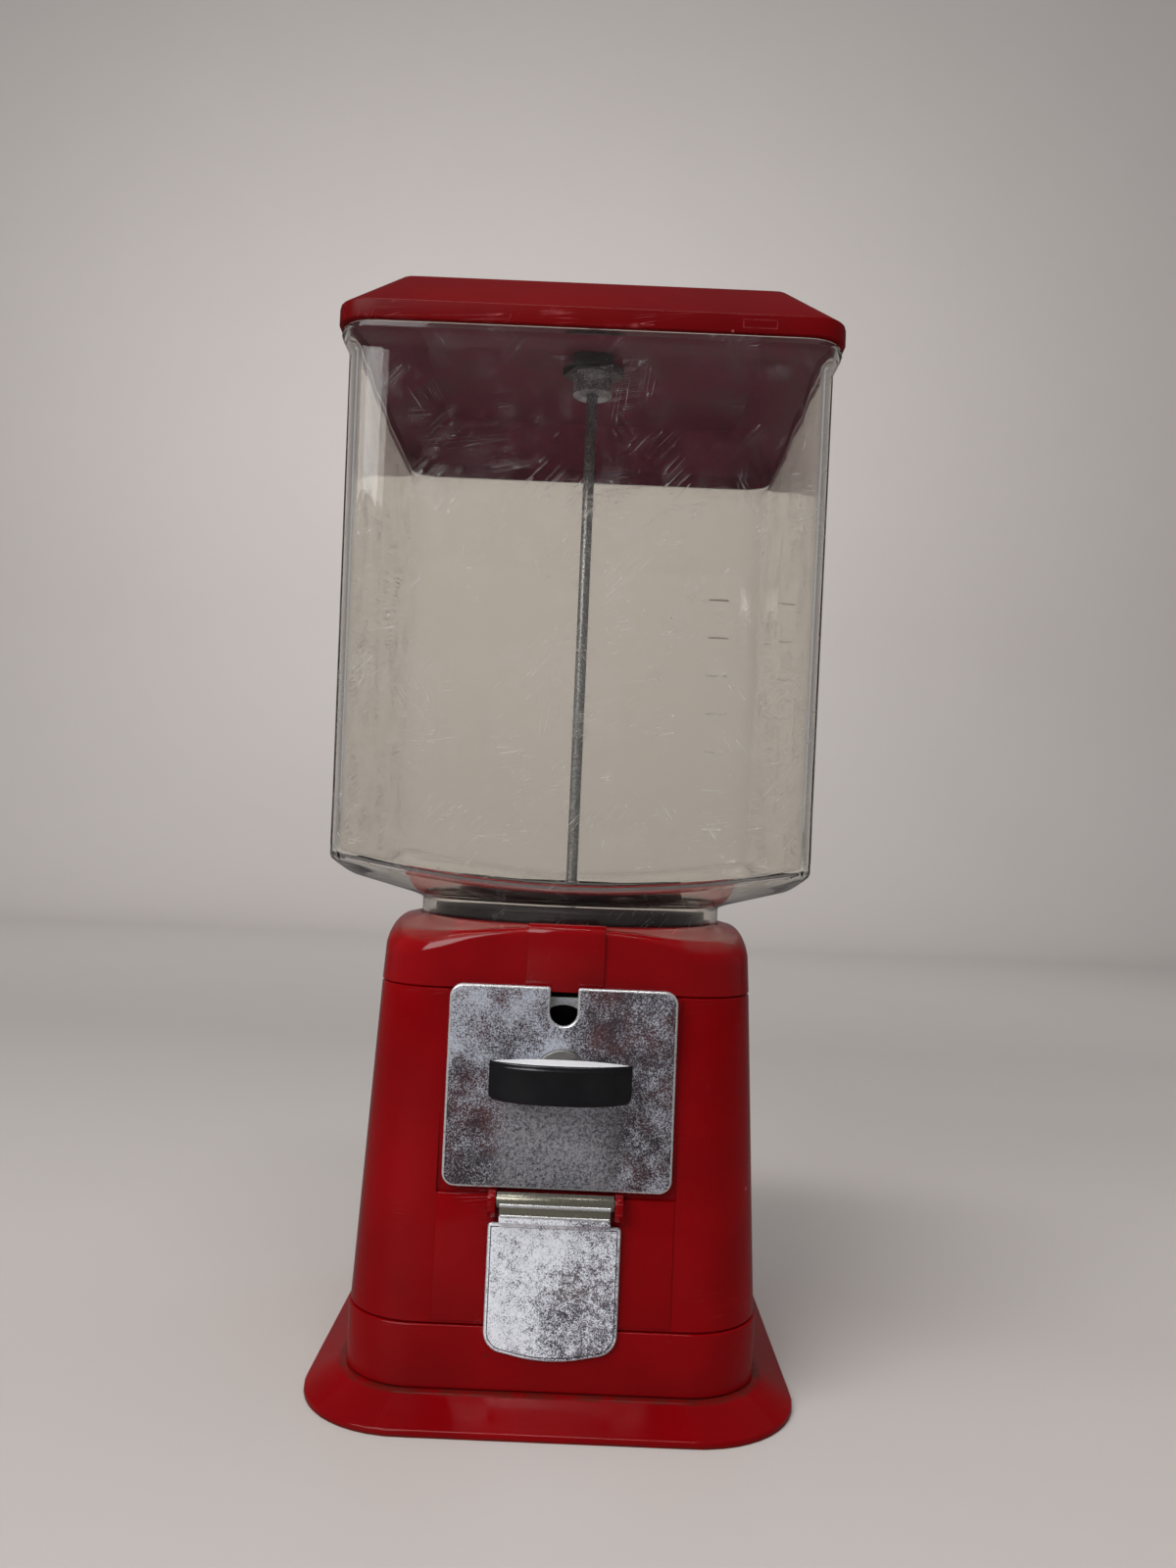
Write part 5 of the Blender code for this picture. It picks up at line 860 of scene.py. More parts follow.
def makeShoulder():
    s = shoulder
    throat, corner, top, low, rim = (s[key] for key in ("throat", "corner", "top", "low", "rim"))
    throatLow = s["throatLow"]
    walls = squareRing(s["half"], corner, 0)
    rings = [squareRing(body["top"] - rim, corner - rim, low), squareRing(body["top"], corner, low + rim)]
    rings += [[shoulderPoint(x, y, share) for x, y, _ in walls] for share in shoulderShares]
    outer, lip = rings[-1], squareRing(throat + wall, throat + wall, top)
    for share in (0.35, 0.7):
        rings.append([tuple(mix(a, b, share) for a, b in zip(p, q)) for p, q in zip(outer, lip)])
    inner = s["half"] - wall
    rings += [lip, squareRing(throat + s["lipInset"], throat + s["lipInset"], top + s["lipRise"]),
              squareRing(throat, throat, top - s["lipDrop"]), squareRing(throat, throat, throatLow),
              squareRing(inner - wall / 2, corner + wall, throatLow - wall),
              squareRing(inner, corner - wall, s["ledge"]), squareRing(inner, corner - wall, low)]
    made = loft("hopperShoulder", rings, shoulderLook, closed=True)
    outline = [(-body["top"] - s["stripProud"] / 2, low)]
    outline += [shoulderPoint(0, -s["half"], share, s["stripProud"])[1:] for share in shoulderShares]
    outline += [(-throat - wall, top + s["stripRise"]), (-throat - wall, top - wall),
                (-s["half"] + wall / 2, s["ledge"]), (-s["half"] + wall / 2, low)]
    strip = prism("strip", outline, -s["stripHalf"], s["stripHalf"], shoulderLook, "x")
    rounded(strip, s["stripSoft"], 2, 60)
    bore, reach, floor, deck = s["ledgeBore"], inner + wall / 2, s["ledge"], s["ledge"] + s["ledgeThick"]
    ledge = turned("ledge", [(bore, floor), (bore, deck), (reach, deck), (reach, floor)], shoulderLook, 96)
    combine(made, [strip, ledge], "UNION")
    return finished(smooth(made, 30), "machine", "red_plastic", "hopper_housing")


makeShoulder()
print("shoulder ready")


globe = {"wall": 0.0026, "collar": 0.0660, "collarTop": 0.1922, "collarLow": 0.1765, "foot": 0.0921, "head": 0.0944,
         "corner": 0.0115, "crease": 0.2135, "slope": 0.27, "cove": 0.4020, "top": 0.4125, "rim": 0.0030,
         "flare": 0.0029, "fillet": 0.0015, "soft": 0.0016, "creaseRise": 0.0006, "creaseProud": 0.00012, "lip": 0.0005,
         "edge": {"middle": 0.0008, "reach": 0.0009, "inset": 0.0017, "topBand": 0.0008}}


def coneHeight(radius):
    return globe["collarTop"] + globe["slope"] * (radius - globe["collar"])


def globeSide(inset, shift):
    g = globe
    collar, foot, head = g["collar"] - inset, g["foot"] - inset, g["head"] - inset
    corner, crease, soft = g["corner"] - inset / 2, g["crease"], g["soft"]

    def onCone(half, cornerHere, rise=0.0):
        return squareRing(half, cornerHere, 0, lambda reach: coneHeight(reach) + shift + rise)

    rings = [squareRing(collar, collar, g["collarLow"])]
    for out, up in turns(0, 25, 50, 75):
        radius = collar + g["fillet"] * (1 - out)
        rings.append(squareRing(radius, radius, g["collarTop"] + shift - g["fillet"] * (1 - up)))
    # The cone runs out to a softly rounded lower edge
    for share in (0.12, 0.3, 0.55, 0.8):
        half = mix(collar + g["fillet"], foot - soft, share)
        rings.append(onCone(half, mix(half, corner, share ** 2)))
    rings += [onCone(foot - soft, corner), onCone(foot - soft * 0.3, corner, soft * 0.35), onCone(foot, corner, soft)]
    rings += [squareRing(foot, corner, crease - g["creaseRise"]), squareRing(foot + g["creaseProud"], corner, crease)]
    rings += [squareRing(mix(foot, head, share), corner, mix(crease + g["creaseRise"], g["cove"], share))
              for share in (0.1, 0.35, 0.6, 0.85, 1.0)]
    for share in (0.15, 0.3, 0.45, 0.6, 0.75, 0.9, 1.0):
        rings.append(squareRing(head + g["flare"] * share ** 2, corner + g["flare"] * share,
                                mix(g["cove"], g["top"] - g["rim"], share)))
    return rings


def makeGlobe():
    g = globe
    outer, inner = globeSide(0, 0), globeSide(g["wall"], g["wall"])
    half, corner, top, lip = g["head"] + g["flare"], g["corner"] + g["flare"], g["top"], g["lip"]
    rims = [squareRing(half + lip / 2, corner, top - g["rim"] + lip), squareRing(half, corner, top - lip),
            squareRing(half - lip, corner - lip, top), squareRing(half - g["wall"] + lip, corner - g["wall"], top)]
    made = loft("globeShell", outer + rims + list(reversed(inner)), clearLook, closed=True)
    # Rubbed edges, made pale partly as a painted highlight: where the sloping underside meets the walls, and the top
    # rim
    made.data.materials.append(clearRubbedEdgeHighlightLook)
    edge = g["edge"]
    for face in made.data.polygons:
        spot = face.center
        side = max(abs(spot.x), abs(spot.y))
        rounding = abs(spot.z - coneHeight(math.hypot(spot.x, spot.y)) - edge["middle"]) < edge["reach"]
        lowEdge = rounding and side > g["foot"] - edge["inset"] and face.normal.z < 0.2
        if lowEdge or spot.z > top - edge["topBand"]:
            face.material_index = 1
    return finished(smooth(made, 30), "machine", "clear_plastic", "globe")


levelMarks = {"middle": 0.0718, "back": 0.0923, "length": 0.0105, "thick": 0.0009, "low": 0.228, "step": 0.0205,
              "count": 7}


def makeLevelMarks():
    # Geometry Nodes: short moulded bars in a row up the globe's rear wall
    tree, given, result, sockets = newTree("levelMarkRow", {"Count": "Int", "Start": "Vector", "Step": "Vector",
                                                            "Size": "Vector", "Material": "Material"})
    row = addNode(tree, "GeometryNodeMeshLine", {"mode": "OFFSET"}, Count=given["Count"], Start_Location=given["Start"],
                  Offset=given["Step"])
    mark = addNode(tree, "GeometryNodeMeshCube", Size=given["Size"])
    copies = addNode(tree, "GeometryNodeInstanceOnPoints", Points=row.outputs["Mesh"], Instance=mark.outputs["Mesh"])
    closeTree(tree, copies.outputs["Instances"], given["Material"], result)
    m = levelMarks
    lean = (globe["head"] - globe["foot"]) / (globe["cove"] - globe["crease"]) * m["step"]
    made = grown("levelMarks", bpy.data.meshes.new("levelMarks"), tree, sockets, {
        "Count": m["count"], "Start": (m["middle"], m["back"], m["low"]), "Step": (0, lean, m["step"]),
        "Size": (m["length"], m["thick"], m["thick"]), "Material": clearMarkLook})
    finished(made, "machine", "clear_plastic")


makeGlobe()
makeLevelMarks()
print("globe ready")


lid = {"half": 0.0983, "corner": 0.0130, "low": 0.4128, "slope": 0.4200, "top": 0.4395, "topHalf": 0.0780,
       "topCorner": 0.0050, "round": 0.0011, "roundSteps": 5, "topRound": 1.6, "topInset": 0.9, "underCorner": 0.0013,
       "underDrop": 0.0006, "lowEdge": ((0.0008, 0.0), (0.0002, 0.0003), (0.0, 0.0009)), "lockHole": 0.0093,
       "shadeFrom": 0.0010}


def makeLid():
    c = lid
    half, corner, low, slope, top, steps = (c[key] for key in ("half", "corner", "low", "slope", "top", "roundSteps"))
    rings = [squareRing(c["topHalf"] - wall, c["topCorner"] - c["underCorner"], top - wall),
             squareRing(half - wall, corner - wall, slope - c["underDrop"]),
             squareRing(half - wall, corner - wall, low)]
    rings += [squareRing(half - inset, corner - inset, low + rise) for inset, rise in c["lowEdge"]]
    tilt = math.atan2(top - slope, half - c["topHalf"])
    for i in range(steps + 1):
        t = (math.pi / 2 - tilt) * i / steps
        inset = c["round"] * (1 - math.cos(t))
        rings.append(squareRing(half - inset, corner - inset, slope - c["round"] / 3 + c["round"] * math.sin(t)))
    for i in range(steps + 1):
        t = tilt * (1 - i / steps)
        inset = c["round"] * c["topRound"] * math.sin(t)
        fall = c["round"] * c["topRound"] * (1 - math.cos(t))
        rings.append(squareRing(c["topHalf"] - c["round"] * c["topInset"] + inset, c["topCorner"] + inset, top - fall))
    made = loft("lidShell", rings, lidLook)
    combine(made, [bar("hole", c["lockHole"], (0, 0, top - overrun), (0, 0, top + overrun), lidLook)], "DIFFERENCE")
    # Faces under the lid and facing inwards take the painted-shade colour
    made.data.materials.append(paintedShadeLook)
    for face in made.data.polygons:
        spot, way = face.center, face.normal
        inward = spot.x * way.x + spot.y * way.y < -0.3 * math.hypot(spot.x, spot.y)
        if spot.z > low + c["shadeFrom"] and (way.z < -0.3 or inward):
            face.material_index = 1
    return finished(smooth(made, 30), "lid_assembly", "red_plastic", "lid")


makeLid()
print("lid ready")


def plateOutline():
    p = plate
    half, corner, notch, lip, low, high = (p[key] for key in ("half", "corner", "notch", "notchLip", "low", "high"))
    outline = arc((-half + corner, low + corner), corner, 180, 270)
    outline += arc((half - corner, low + corner), corner, 270, 360)
    outline += arc((half - corner, high - corner), corner, 0, 90)
    outline += arc((notch + lip, high - lip), lip, 90, 180, 4)
    outline += arc((0, high - p["notchDepth"] + notch), notch, 0, -180, 16)
    outline += arc((-notch - lip, high - lip), lip, 0, 90, 4)
    outline += arc((-half + corner, high - corner), corner, 90, 180)
    return outline


def makePlate():
    p = plate
    back = p["front"] - p["thick"]
    made = prism("coinPlate", plateOutline(), -p["front"], -back, plateLook)
    rounded(made, p["edge"], 4, 60, edgeWearAndHighlightLook)
    post, stud, shaftZ, root = p["post"], p["stud"], p["shaftZ"], -back - p["root"]
    posts = []
    for side in (-1, 1):
        for level in (-1, 1):
            x, z = side * post["across"], shaftZ + level * post["up"]
            posts.append(bar("post", post["radius"], (x, root, z), (x, -post["end"], z), steelLook))
        x = side * stud["across"]
        posts.append(bar("stud", stud["radius"], (x, root, shaftZ), (x, -back + stud["length"], shaftZ), steelLook))
    combine(made, posts, "UNION")
    hole = bar("hole", p["hole"], (0, -p["front"] - overrun, shaftZ), (0, -back + overrun, shaftZ), steelLook, 48)
    combine(made, [hole], "DIFFERENCE")
    return finished(smooth(made, 30), "machine", "worn_chrome", "mech_faceplate")


makePlate()
print("coin plate ready")


handle = {"half": 0.0268, "tall": 0.0073, "front": 0.0983, "back": 0.0835, "waist": 0.0905, "grip": 0.0019,
          "tip": 0.0008, "boss": 0.0068, "bossEnd": 0.0824, "shaft": 0.0045, "socketDepth": 0.0090, "socketEnd": 0.08,
          "edge": 0.0007, "barEdge": 0.0003, "fullness": 2.6, "lineDrop": 0.0019, "lineRise": 0.0003,
          "line": ((-0.0005, 0.0), (-0.0002, 0.8), (0.0, 1.0), (0.0002, 0.8), (0.0005, 0.0)),
          "endRound": 0.0034, "endShare": 0.8, "tipShare": 0.3, "steps": 22}
escutcheon = {"radius": 0.0108, "thick": 0.0013, "back": 0.0805, "bore": 0.0045, "round": 0.0012}


def bow(x, half, reach):
    return reach * (1 - abs(x / half) ** handle["fullness"])


def makeHandle():
    h = handle
    z, tall, edge, steps = plate["shaftZ"], h["tall"], h["barEdge"], h["steps"]
    half = h["half"] - h["tip"] - edge
    front = h["front"] - h["grip"] - edge - h["waist"]
    levels = [(-tall, edge), (-tall + edge, 0.0)]
    levels += [(mix(-tall + edge, -tall + h["endRound"], share), 0.0) for share in (0.25, 0.5, 0.75, 1.0)]
    levels += [(tall - edge, 0.0), (tall, edge)]
    rings = []
    for level, inset in levels:
        reach = half - inset - gripEnd(level)
        ring = []
        for i in range(2 * steps):
            x = (1 - 2 * (i % steps) / steps) * (1 if i < steps else -1)
            depth = front - inset if i < steps else h["back"] - h["waist"] + inset
            ring.append((reach * x, -h["waist"] - bow(x, 1, depth), z + level))
        rings.append(ring)
    made = loft("handleBar", rings, handleMetalLook)
    boss = bar("boss", h["boss"], (0, -h["waist"], z), (0, -h["bossEnd"], z), handleMetalLook, 48)
    combine(made, [boss], "UNION")
    deep = (0, -h["back"] - h["socketDepth"], z)
    combine(made, [bar("socket", h["shaft"], deep, (0, -h["socketEnd"], z), handleMetalLook, 48)], "DIFFERENCE")
    finished(smooth(made, 30), "handle", "worn_chrome", "handle_bar")
    grip = loft("handleGrip", [[(x, y, z + level) for x, y in gripOutline(inset, ends)]
                               for level, inset, ends in gripLevels()], gripLook)
    finished(smooth(grip, 50), "handle", "black_plastic", "handle_grip")


def gripLevels():
    # The heights of its sections, with how far each is drawn in: all round, and at the rounded lower ends
    h = handle
    tall, edge, rise = h["tall"], h["edge"], h["lineRise"]
    for out, up in turns(90, 68, 45, 22, 0):
        level = -tall + edge * (1 - up)
        yield level, rise + edge * (1 - out), gripEnd(level)
    for share in (0.25, 0.5, 0.75, 1.0):
        level = mix(-tall + edge, -tall + h["endRound"], share)
        yield level, rise, gripEnd(level)
    # A fine raised line runs along the front a little below the top
    for offset, proud in h["line"]:
        yield tall - h["lineDrop"] + offset, rise * (1 - proud), 0.0
    for out, up in turns(0, 22, 45, 68, 90):
        yield tall - edge * (1 - up), rise + edge * (1 - out), 0.0


def gripEnd(level):
    radius = handle["endRound"]
    below = max(0.0, (-handle["tall"] + radius - level) / radius)
    return radius * (1 - math.sqrt(max(0.0, 1 - below ** 2))) * handle["endShare"]


def gripOutline(inset, ends):
    h = handle
    steps, waist, tail = h["steps"], -h["waist"], -h["waist"] + h["grip"]
    half, front = h["half"] - inset * h["tipShare"] - ends, h["front"] - inset
    hollow = min(h["half"] - h["tip"], half - h["tip"] / 2)
    outer, inner = [], []
    for i in range(2 * steps + 1):
        share = 1 - i / steps
        outer.append((half * share, waist - bow(share, 1, front - h["waist"])))
        inner.append((hollow * share, waist - bow(share, 1, h["front"] - h["grip"] - h["waist"])))
    return [(half, tail)] + outer + [(-half, tail), (-hollow, tail)] + list(reversed(inner)) + [(hollow, tail)]


def makeEscutcheon():
    radius, bore, back, curve = (escutcheon[key] for key in ("radius", "bore", "back", "round"))
    face = back + escutcheon["thick"]
    outline = [(bore, back), (bore, face), (radius - 2 * curve, face)]
    outline += [(radius - curve + curve * out, face - curve + curve * up) for out, up in turns(80, 55, 30, 5)]
    outline.append((radius, back))
    place = Matrix.Translation((0, 0, plate["shaftZ"])) @ Matrix.Rotation(math.radians(90), 4, "X")
    made = turned("handleDisc", outline, discLook, 64, place)
    return finished(smooth(made), "machine", "zinc_steel", "handle_escutcheon")


makeHandle()
makeEscutcheon()
print("handle ready")


door = {"half": 0.0251, "top": 0.0735, "low": 0.0232, "bow": 0.0024, "corner": 0.0080, "thick": 0.0014, "back": 0.0814,
        "tabHalf": 0.0209, "barrel": 0.0029, "barrelHalf": 0.0221, "pinBore": 0.0017, "shoulder": 0.0016,
        "edge": 0.00045, "bendZ": 0.0770, "soft": 0.0002, "barrelSoft": 0.0003, "leastShoulder": 0.0004,
        "groove": {"inset": 0.0011, "width": 0.00035, "depth": 0.00014, "proud": 0.001},
        "skirtRise": 0.0005, "skirtProud": 0.0003,
        "paintedHighlightLines": ({"radius": 0.0008, "deep": 0.0006, "z": 0.0810, "trim": 0.0},
                        {"radius": 0.0006, "deep": 0.0005, "z": 0.0770, "trim": 0.0004})}


def doorOutline(inset=0.0):
    d = door
    half, corner, low, top = d["half"] - inset, d["corner"] - inset, d["low"] + inset, d["top"] - inset
    shoulderHere = max(d["shoulder"] - inset, d["leastShoulder"])
    outline = arc((half - shoulderHere, top - shoulderHere), shoulderHere, 0, 90, 5)
    outline += arc((-half + shoulderHere, top - shoulderHere), shoulderHere, 90, 180, 5)
    outline += arc((-half + corner, low + d["bow"] + corner), corner, 180, 260, 12)
    for i in range(1, 16):
        share = i / 8 - 1
        outline.append(((half - corner) * share, low + d["bow"] * share ** 2))
    return outline + arc((half - corner, low + d["bow"] + corner), corner, 280, 360, 12)


def makeDoor():
    d = door
    back, top, thick, tab, bendZ = (d[key] for key in ("back", "top", "thick", "tabHalf", "bendZ"))
    front = back + thick
    made = prism("chuteDoor", doorOutline(), -front, -back, doorLook)
    rounded(made, d["edge"], 3, 60, edgeWearAndHighlightLook)
    # A pressed line a little inside the edge of its face, its groove coloured near black: painted shade
    g = d["groove"]
    inset, proud = g["inset"], g["proud"]
    groove = prism("groove", doorOutline(inset), -front - proud, -front + g["depth"], grooveShadeLook)
    island = prism("island", doorOutline(inset + g["width"]), -front - 2 * proud, -front + proud, grooveShadeLook)
    combine(groove, [island], "DIFFERENCE")
    combine(made, [groove], "DIFFERENCE")
    nose = ears["pinY"] + d["barrel"]
    low, rise, skin = top - thick, top + thick, -nose + thick / 8
    skirt = [(-back, low), (-back, top + d["skirtRise"]), (-nose + thick, rise), (-nose + thick, bendZ), (skin, bendZ),
             (skin, rise - thick / 4), (-front - d["skirtProud"], low + thick * 0.7), (-front, low)]
    skirtPiece = prism("skirt", skirt, -tab, tab, doorLook, "x")
    rounded(skirtPiece, d["soft"], 2, 30)
    tabPiece = box("tab", (-tab, skin, bendZ - d["soft"]), (tab, -nose + thick, ears["pinZ"]), hingeLook)
    rounded(tabPiece, d["barrelSoft"], 2, 30)
    barrel = pinBar("barrel", d["barrel"], d["barrelHalf"], hingeLook, 48)
    rounded(barrel, d["barrelSoft"], 2, 60)
    # Thin bars on the curl and the bend: real edges whose pale polished colour paints the highlight lines
    lines = []
    for line in d["paintedHighlightLines"]:
        end, y, z = tab - line["trim"], -nose + line["deep"], line["z"]
        lines.append(bar("line", line["radius"], (-end, y, z), (end, y, z), edgeWearAndHighlightLook, 24))
    combine(made, [skirtPiece, tabPiece, barrel] + lines, "UNION")
    combine(made, [pinBar("bore", d["pinBore"], ears["reach"], hingeLook)], "DIFFERENCE")
    return finished(smooth(made, 30), "door", "worn_chrome", "chute_door")


makeDoor()
print("door ready")


backplate = {"half": 0.0312, "tall": 0.0295, "front": 0.0734, "thick": 0.0024, "corner": 0.0025,
             "windowRadius": 0.0107, "windowZ": 0.1440, "screws": (0.0278, 0.0262), "screwHole": 0.0015,
             "pawlPin": (0.0235, 0.0150, 0.0019), "soft": 0.0002, "drillFront": 0.003, "drillBack": 0.006}
rod = {"chamfer": 0.0004, "topChamfer": 0.0005, "pitch": 0.0008, "threadLength": 0.012, "threadDepth": 0.0003,
       "threadFrom": 0.0006}


def makeBackplate():
    b = backplate
    z, half, tall, corner = plate["shaftZ"], b["half"], b["tall"], b["corner"]
    outline = []
    for across, up, start in ((-1, -1, 180), (1, -1, 270), (1, 1, 0), (-1, 1, 90)):
        outline += arc((across * (half - corner), z + up * (tall - corner)), corner, start, start + 90)
    made = prism("mechBackplate", outline, -b["front"], -b["front"] + b["thick"], steelLook)
    rounded(made, b["soft"], 2, 60)
    holes = [(0, z, handle["shaft"]), (0, b["windowZ"], b["windowRadius"]),
             (b["pawlPin"][0], z + b["pawlPin"][1], b["pawlPin"][2])]
    holes += [(i * b["screws"][0], z + j * b["screws"][1], b["screwHole"]) for i in (-1, 1) for j in (-1, 1)]
    drillFront, drillBack = -b["front"] - b["drillFront"], -b["front"] + b["drillBack"]
    cutters = [bar("hole", radius, (x, drillFront, up), (x, drillBack, up), steelLook, 48) for x, up, radius in holes]
    combine(made, cutters, "DIFFERENCE")
    return finished(smooth(made, 30), "machine", "zinc_steel", "mech_backplate")


makeBackplate()


def makeRod():
    r = rod
    low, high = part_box("center_rod")
    radius = (high.x - low.x) / 2
    profile = [(0, low.z), (radius - r["chamfer"], low.z), (radius, low.z + r["chamfer"])]
    z, pitch = low.z + r["threadFrom"], r["pitch"]
    while z < low.z + r["threadLength"]:  # the thread that the nut runs on
        profile += [(radius - r["threadDepth"], z), (radius, z + pitch / 2)]
        z += pitch
    profile += [(radius, z + pitch / 2), (radius, high.z - r["topChamfer"]), (radius - r["topChamfer"], high.z),
                (0, high.z)]
    made = turned("centreRod", profile, rodLook, 32)
    return finished(smooth(made, 30), "machine", "zinc_steel", "center_rod")


cup = {"neck": 0.0500, "skirt": 0.0600, "top": 0.1959, "skirtTop": 0.1905, "wall": 0.0020, "flange": 0.0658,
       "flangeLow": 0.1720, "flangeTop": 0.1742, "well": 0.0586, "low": 0.1340, "rim": 0.0025, "rimRadius": 0.0655,
       "drop": 0.0080, "edge": 0.0004, "screwCircle": 0.0622, "screwHole": 0.0015}


def makeCup():
    c = cup
    neckInner, wellInner, edge = c["neck"] - c["wall"], c["well"] - c["wall"], c["edge"]
    profile = [
        (neckInner, c["top"] - edge), (neckInner + edge, c["top"]), (c["neck"] - edge, c["top"]),
        (c["neck"] + edge, c["top"] - edge), (c["skirt"] - 0.0030, c["skirtTop"] + 0.0008),
        (c["skirt"] - 0.0010, c["skirtTop"]), (c["skirt"], c["skirtTop"] - 0.0012), (c["skirt"], c["flangeTop"] + edge),
        (c["skirt"] + edge, c["flangeTop"]), (c["flange"] - edge, c["flangeTop"]), (c["flange"], c["flangeTop"] - edge),
        (c["flange"], c["flangeLow"]), (c["well"], c["flangeLow"]), (c["well"], c["low"] + c["rim"]),
        (c["rimRadius"], c["low"] + c["rim"]), (c["rimRadius"], c["low"]), (wellInner, c["low"]),
        (wellInner, c["flangeTop"] - c["drop"]), (neckInner, c["flangeTop"])]
    made = turned("wheelHousing", profile, blackLook, 96)
    cutters = []
    for across, along in turns(90, 210, 330):
        x, y = c["screwCircle"] * across, c["screwCircle"] * along
        low, high = (x, y, c["low"] - overrun), (x, y, c["low"] + 2 * overrun)
        cutters.append(bar("hole", c["screwHole"], low, high, blackLook, 24))
    combine(made, cutters, "DIFFERENCE")
    return finished(smooth(made, 30), "machine", "black_plastic", "wheel_housing")


makeCup()
makeRod()


screws = {"radius": 0.0012, "core": 0.00098, "head": 0.0023, "crown": 0.70, "tall": 0.0015, "pitch": 0.0006,
          "slot": 0.0005, "slotDepth": 0.0006, "slotLength": 2.4, "ridge": 0.7, "plainEnd": 1.7, "shankSides": 16,
          "headSides": 32,
          "short": ("mech_screw_lower_left", "mech_screw_lower_right", "mech_screw_upper_left",
                    "mech_screw_upper_right", "floor_screw_1", "floor_screw_2", "floor_screw_3"),
          "long": ("chute_screw_left", "chute_screw_right")}


def screwTree():
    # Geometry Nodes: a slotted head, a shank and its thread, put on each point along its own direction
    tree, given, result, sockets = newTree("headedScrews", {
        "Points": "Geometry", "Length": "Float", "Radius": "Float", "Core": "Float", "Head Radius": "Float",
        "Crown Radius": "Float", "Head Height": "Float", "Pitch": "Float", "Slot": "Vector", "Material": "Material"})

    def maths(operation, *values):
        return addMath(tree, operation, *values)

    def raised(shape, height):
        up = addNode(tree, "ShaderNodeCombineXYZ", Z=height)
        moved = addNode(tree, "GeometryNodeTransform", Geometry=shape, Translation=up.outputs["Vector"])
        return moved.outputs["Geometry"]

    sides = screws["shankSides"]
    shank = addNode(tree, "GeometryNodeMeshCylinder", Vertices=sides, Radius=given["Core"], Depth=given["Length"])
    shank = raised(shank.outputs["Mesh"], maths("MULTIPLY", given["Length"], 0.5))
    ridge = addNode(tree, "GeometryNodeMeshCone", Vertices=sides, Radius_Top=given["Radius"],
                    Radius_Bottom=given["Core"], Depth=maths("MULTIPLY", given["Pitch"], screws["ridge"]))
    step = addNode(tree, "ShaderNodeCombineXYZ", Z=given["Pitch"])
    threads = maths("SUBTRACT", maths("DIVIDE", given["Length"], given["Pitch"]), screws["plainEnd"])
    row = addNode(tree, "GeometryNodeMeshLine", {"mode": "OFFSET"}, Start_Location=step.outputs["Vector"],
                  Offset=step.outputs["Vector"], Count=maths("FLOOR", threads))
    thread = addNode(tree, "GeometryNodeInstanceOnPoints", Points=row.outputs["Mesh"], Instance=ridge.outputs["Mesh"])
    head = addNode(tree, "GeometryNodeMeshCone", Vertices=screws["headSides"], Radius_Top=given["Head Radius"],
                   Radius_Bottom=given["Crown Radius"], Depth=given["Head Height"])
    below = maths("MULTIPLY", given["Head Height"], -1.0)
    head = raised(head.outputs["Mesh"], below)
    slot = raised(addNode(tree, "GeometryNodeMeshCube", Size=given["Slot"]).outputs["Mesh"], below)
    cut = addNode(tree, "GeometryNodeMeshBoolean", {"operation": "DIFFERENCE"}, Mesh_1=head)
    tree.links.new(slot, cut.inputs["Mesh 2"])
    whole = tree.nodes.new("GeometryNodeJoinGeometry")
    for part in (cut.outputs["Mesh"], shank, thread.outputs["Instances"]):
        tree.links.new(part, whole.inputs["Geometry"])
    heading = addNode(tree, "GeometryNodeInputNamedAttribute", {"data_type": "FLOAT_VECTOR"}, Name="heading")
    turnTo = addNode(tree, "FunctionNodeAlignRotationToVector", {"axis": "Z"}, Vector=heading.outputs["Attribute"])
    copies = addNode(tree, "GeometryNodeInstanceOnPoints", Points=given["Points"], Instance=whole.outputs["Geometry"],
                     Rotation=turnTo.outputs["Rotation"])
    closeTree(tree, copies.outputs["Instances"], given["Material"], result)
    return tree, sockets


def makeScrews():
    c = screws
    tree, sockets = screwTree()
    for label, names in (("shortScrews", c["short"]), ("chuteScrews", c["long"])):
        points, headings = [], []
        for name in names:
            low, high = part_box(name)
            middle, length = (low + high) / 2, max(high - low) - c["tall"]
            if high.z - low.z > high.y - low.y:  # head below, shank upwards
                points.append((middle.x, middle.y, low.z + c["tall"]))
                headings.append((0, 0, 1))
            else:  # head behind, shank to the front
                points.append((middle.x, high.y - c["tall"], middle.z))
                headings.append((0, -1, 0))
        mesh = bpy.data.meshes.new(label)
        mesh.from_pydata(points, [], [])
        store = mesh.attributes.new("heading", "FLOAT_VECTOR", "POINT")
        for spot, way in zip(store.data, headings):
            spot.vector = way
        made = grown(label, mesh, tree, sockets, {
            "Length": length, "Radius": c["radius"], "Core": c["core"], "Head Radius": c["head"],
            "Crown Radius": c["head"] * c["crown"], "Head Height": c["tall"], "Pitch": c["pitch"],
            "Slot": (c["head"] * c["slotLength"], c["slot"], c["slotDepth"] * 2), "Material": steelLook})
        finished(smooth(made, 35), "machine", "zinc_steel", *names)


makeScrews()
print("inner pieces ready")

slotLooks = {"red_plastic": redLook, "clear_plastic": clearLook, "black_plastic": blackLook, "worn_chrome": plateLook,
             "zinc_steel": steelLook, "brass": brassLook, "white_nylon": nylonLook, "grey_rubber": rubberLook}
# The lock nut takes the near-black steel: painted shade under the lid
nodeLooks = {"lock_nut": lockNutShadeLook}
for row in frame["record"]["subparts"]:
    node = frame["nodes"][row["node"]]
    node.data.materials.clear()
    node.data.materials.append(nodeLooks.get(row["node"], slotLooks[row["material_slot"]]))
print("carried-over nodes dressed")


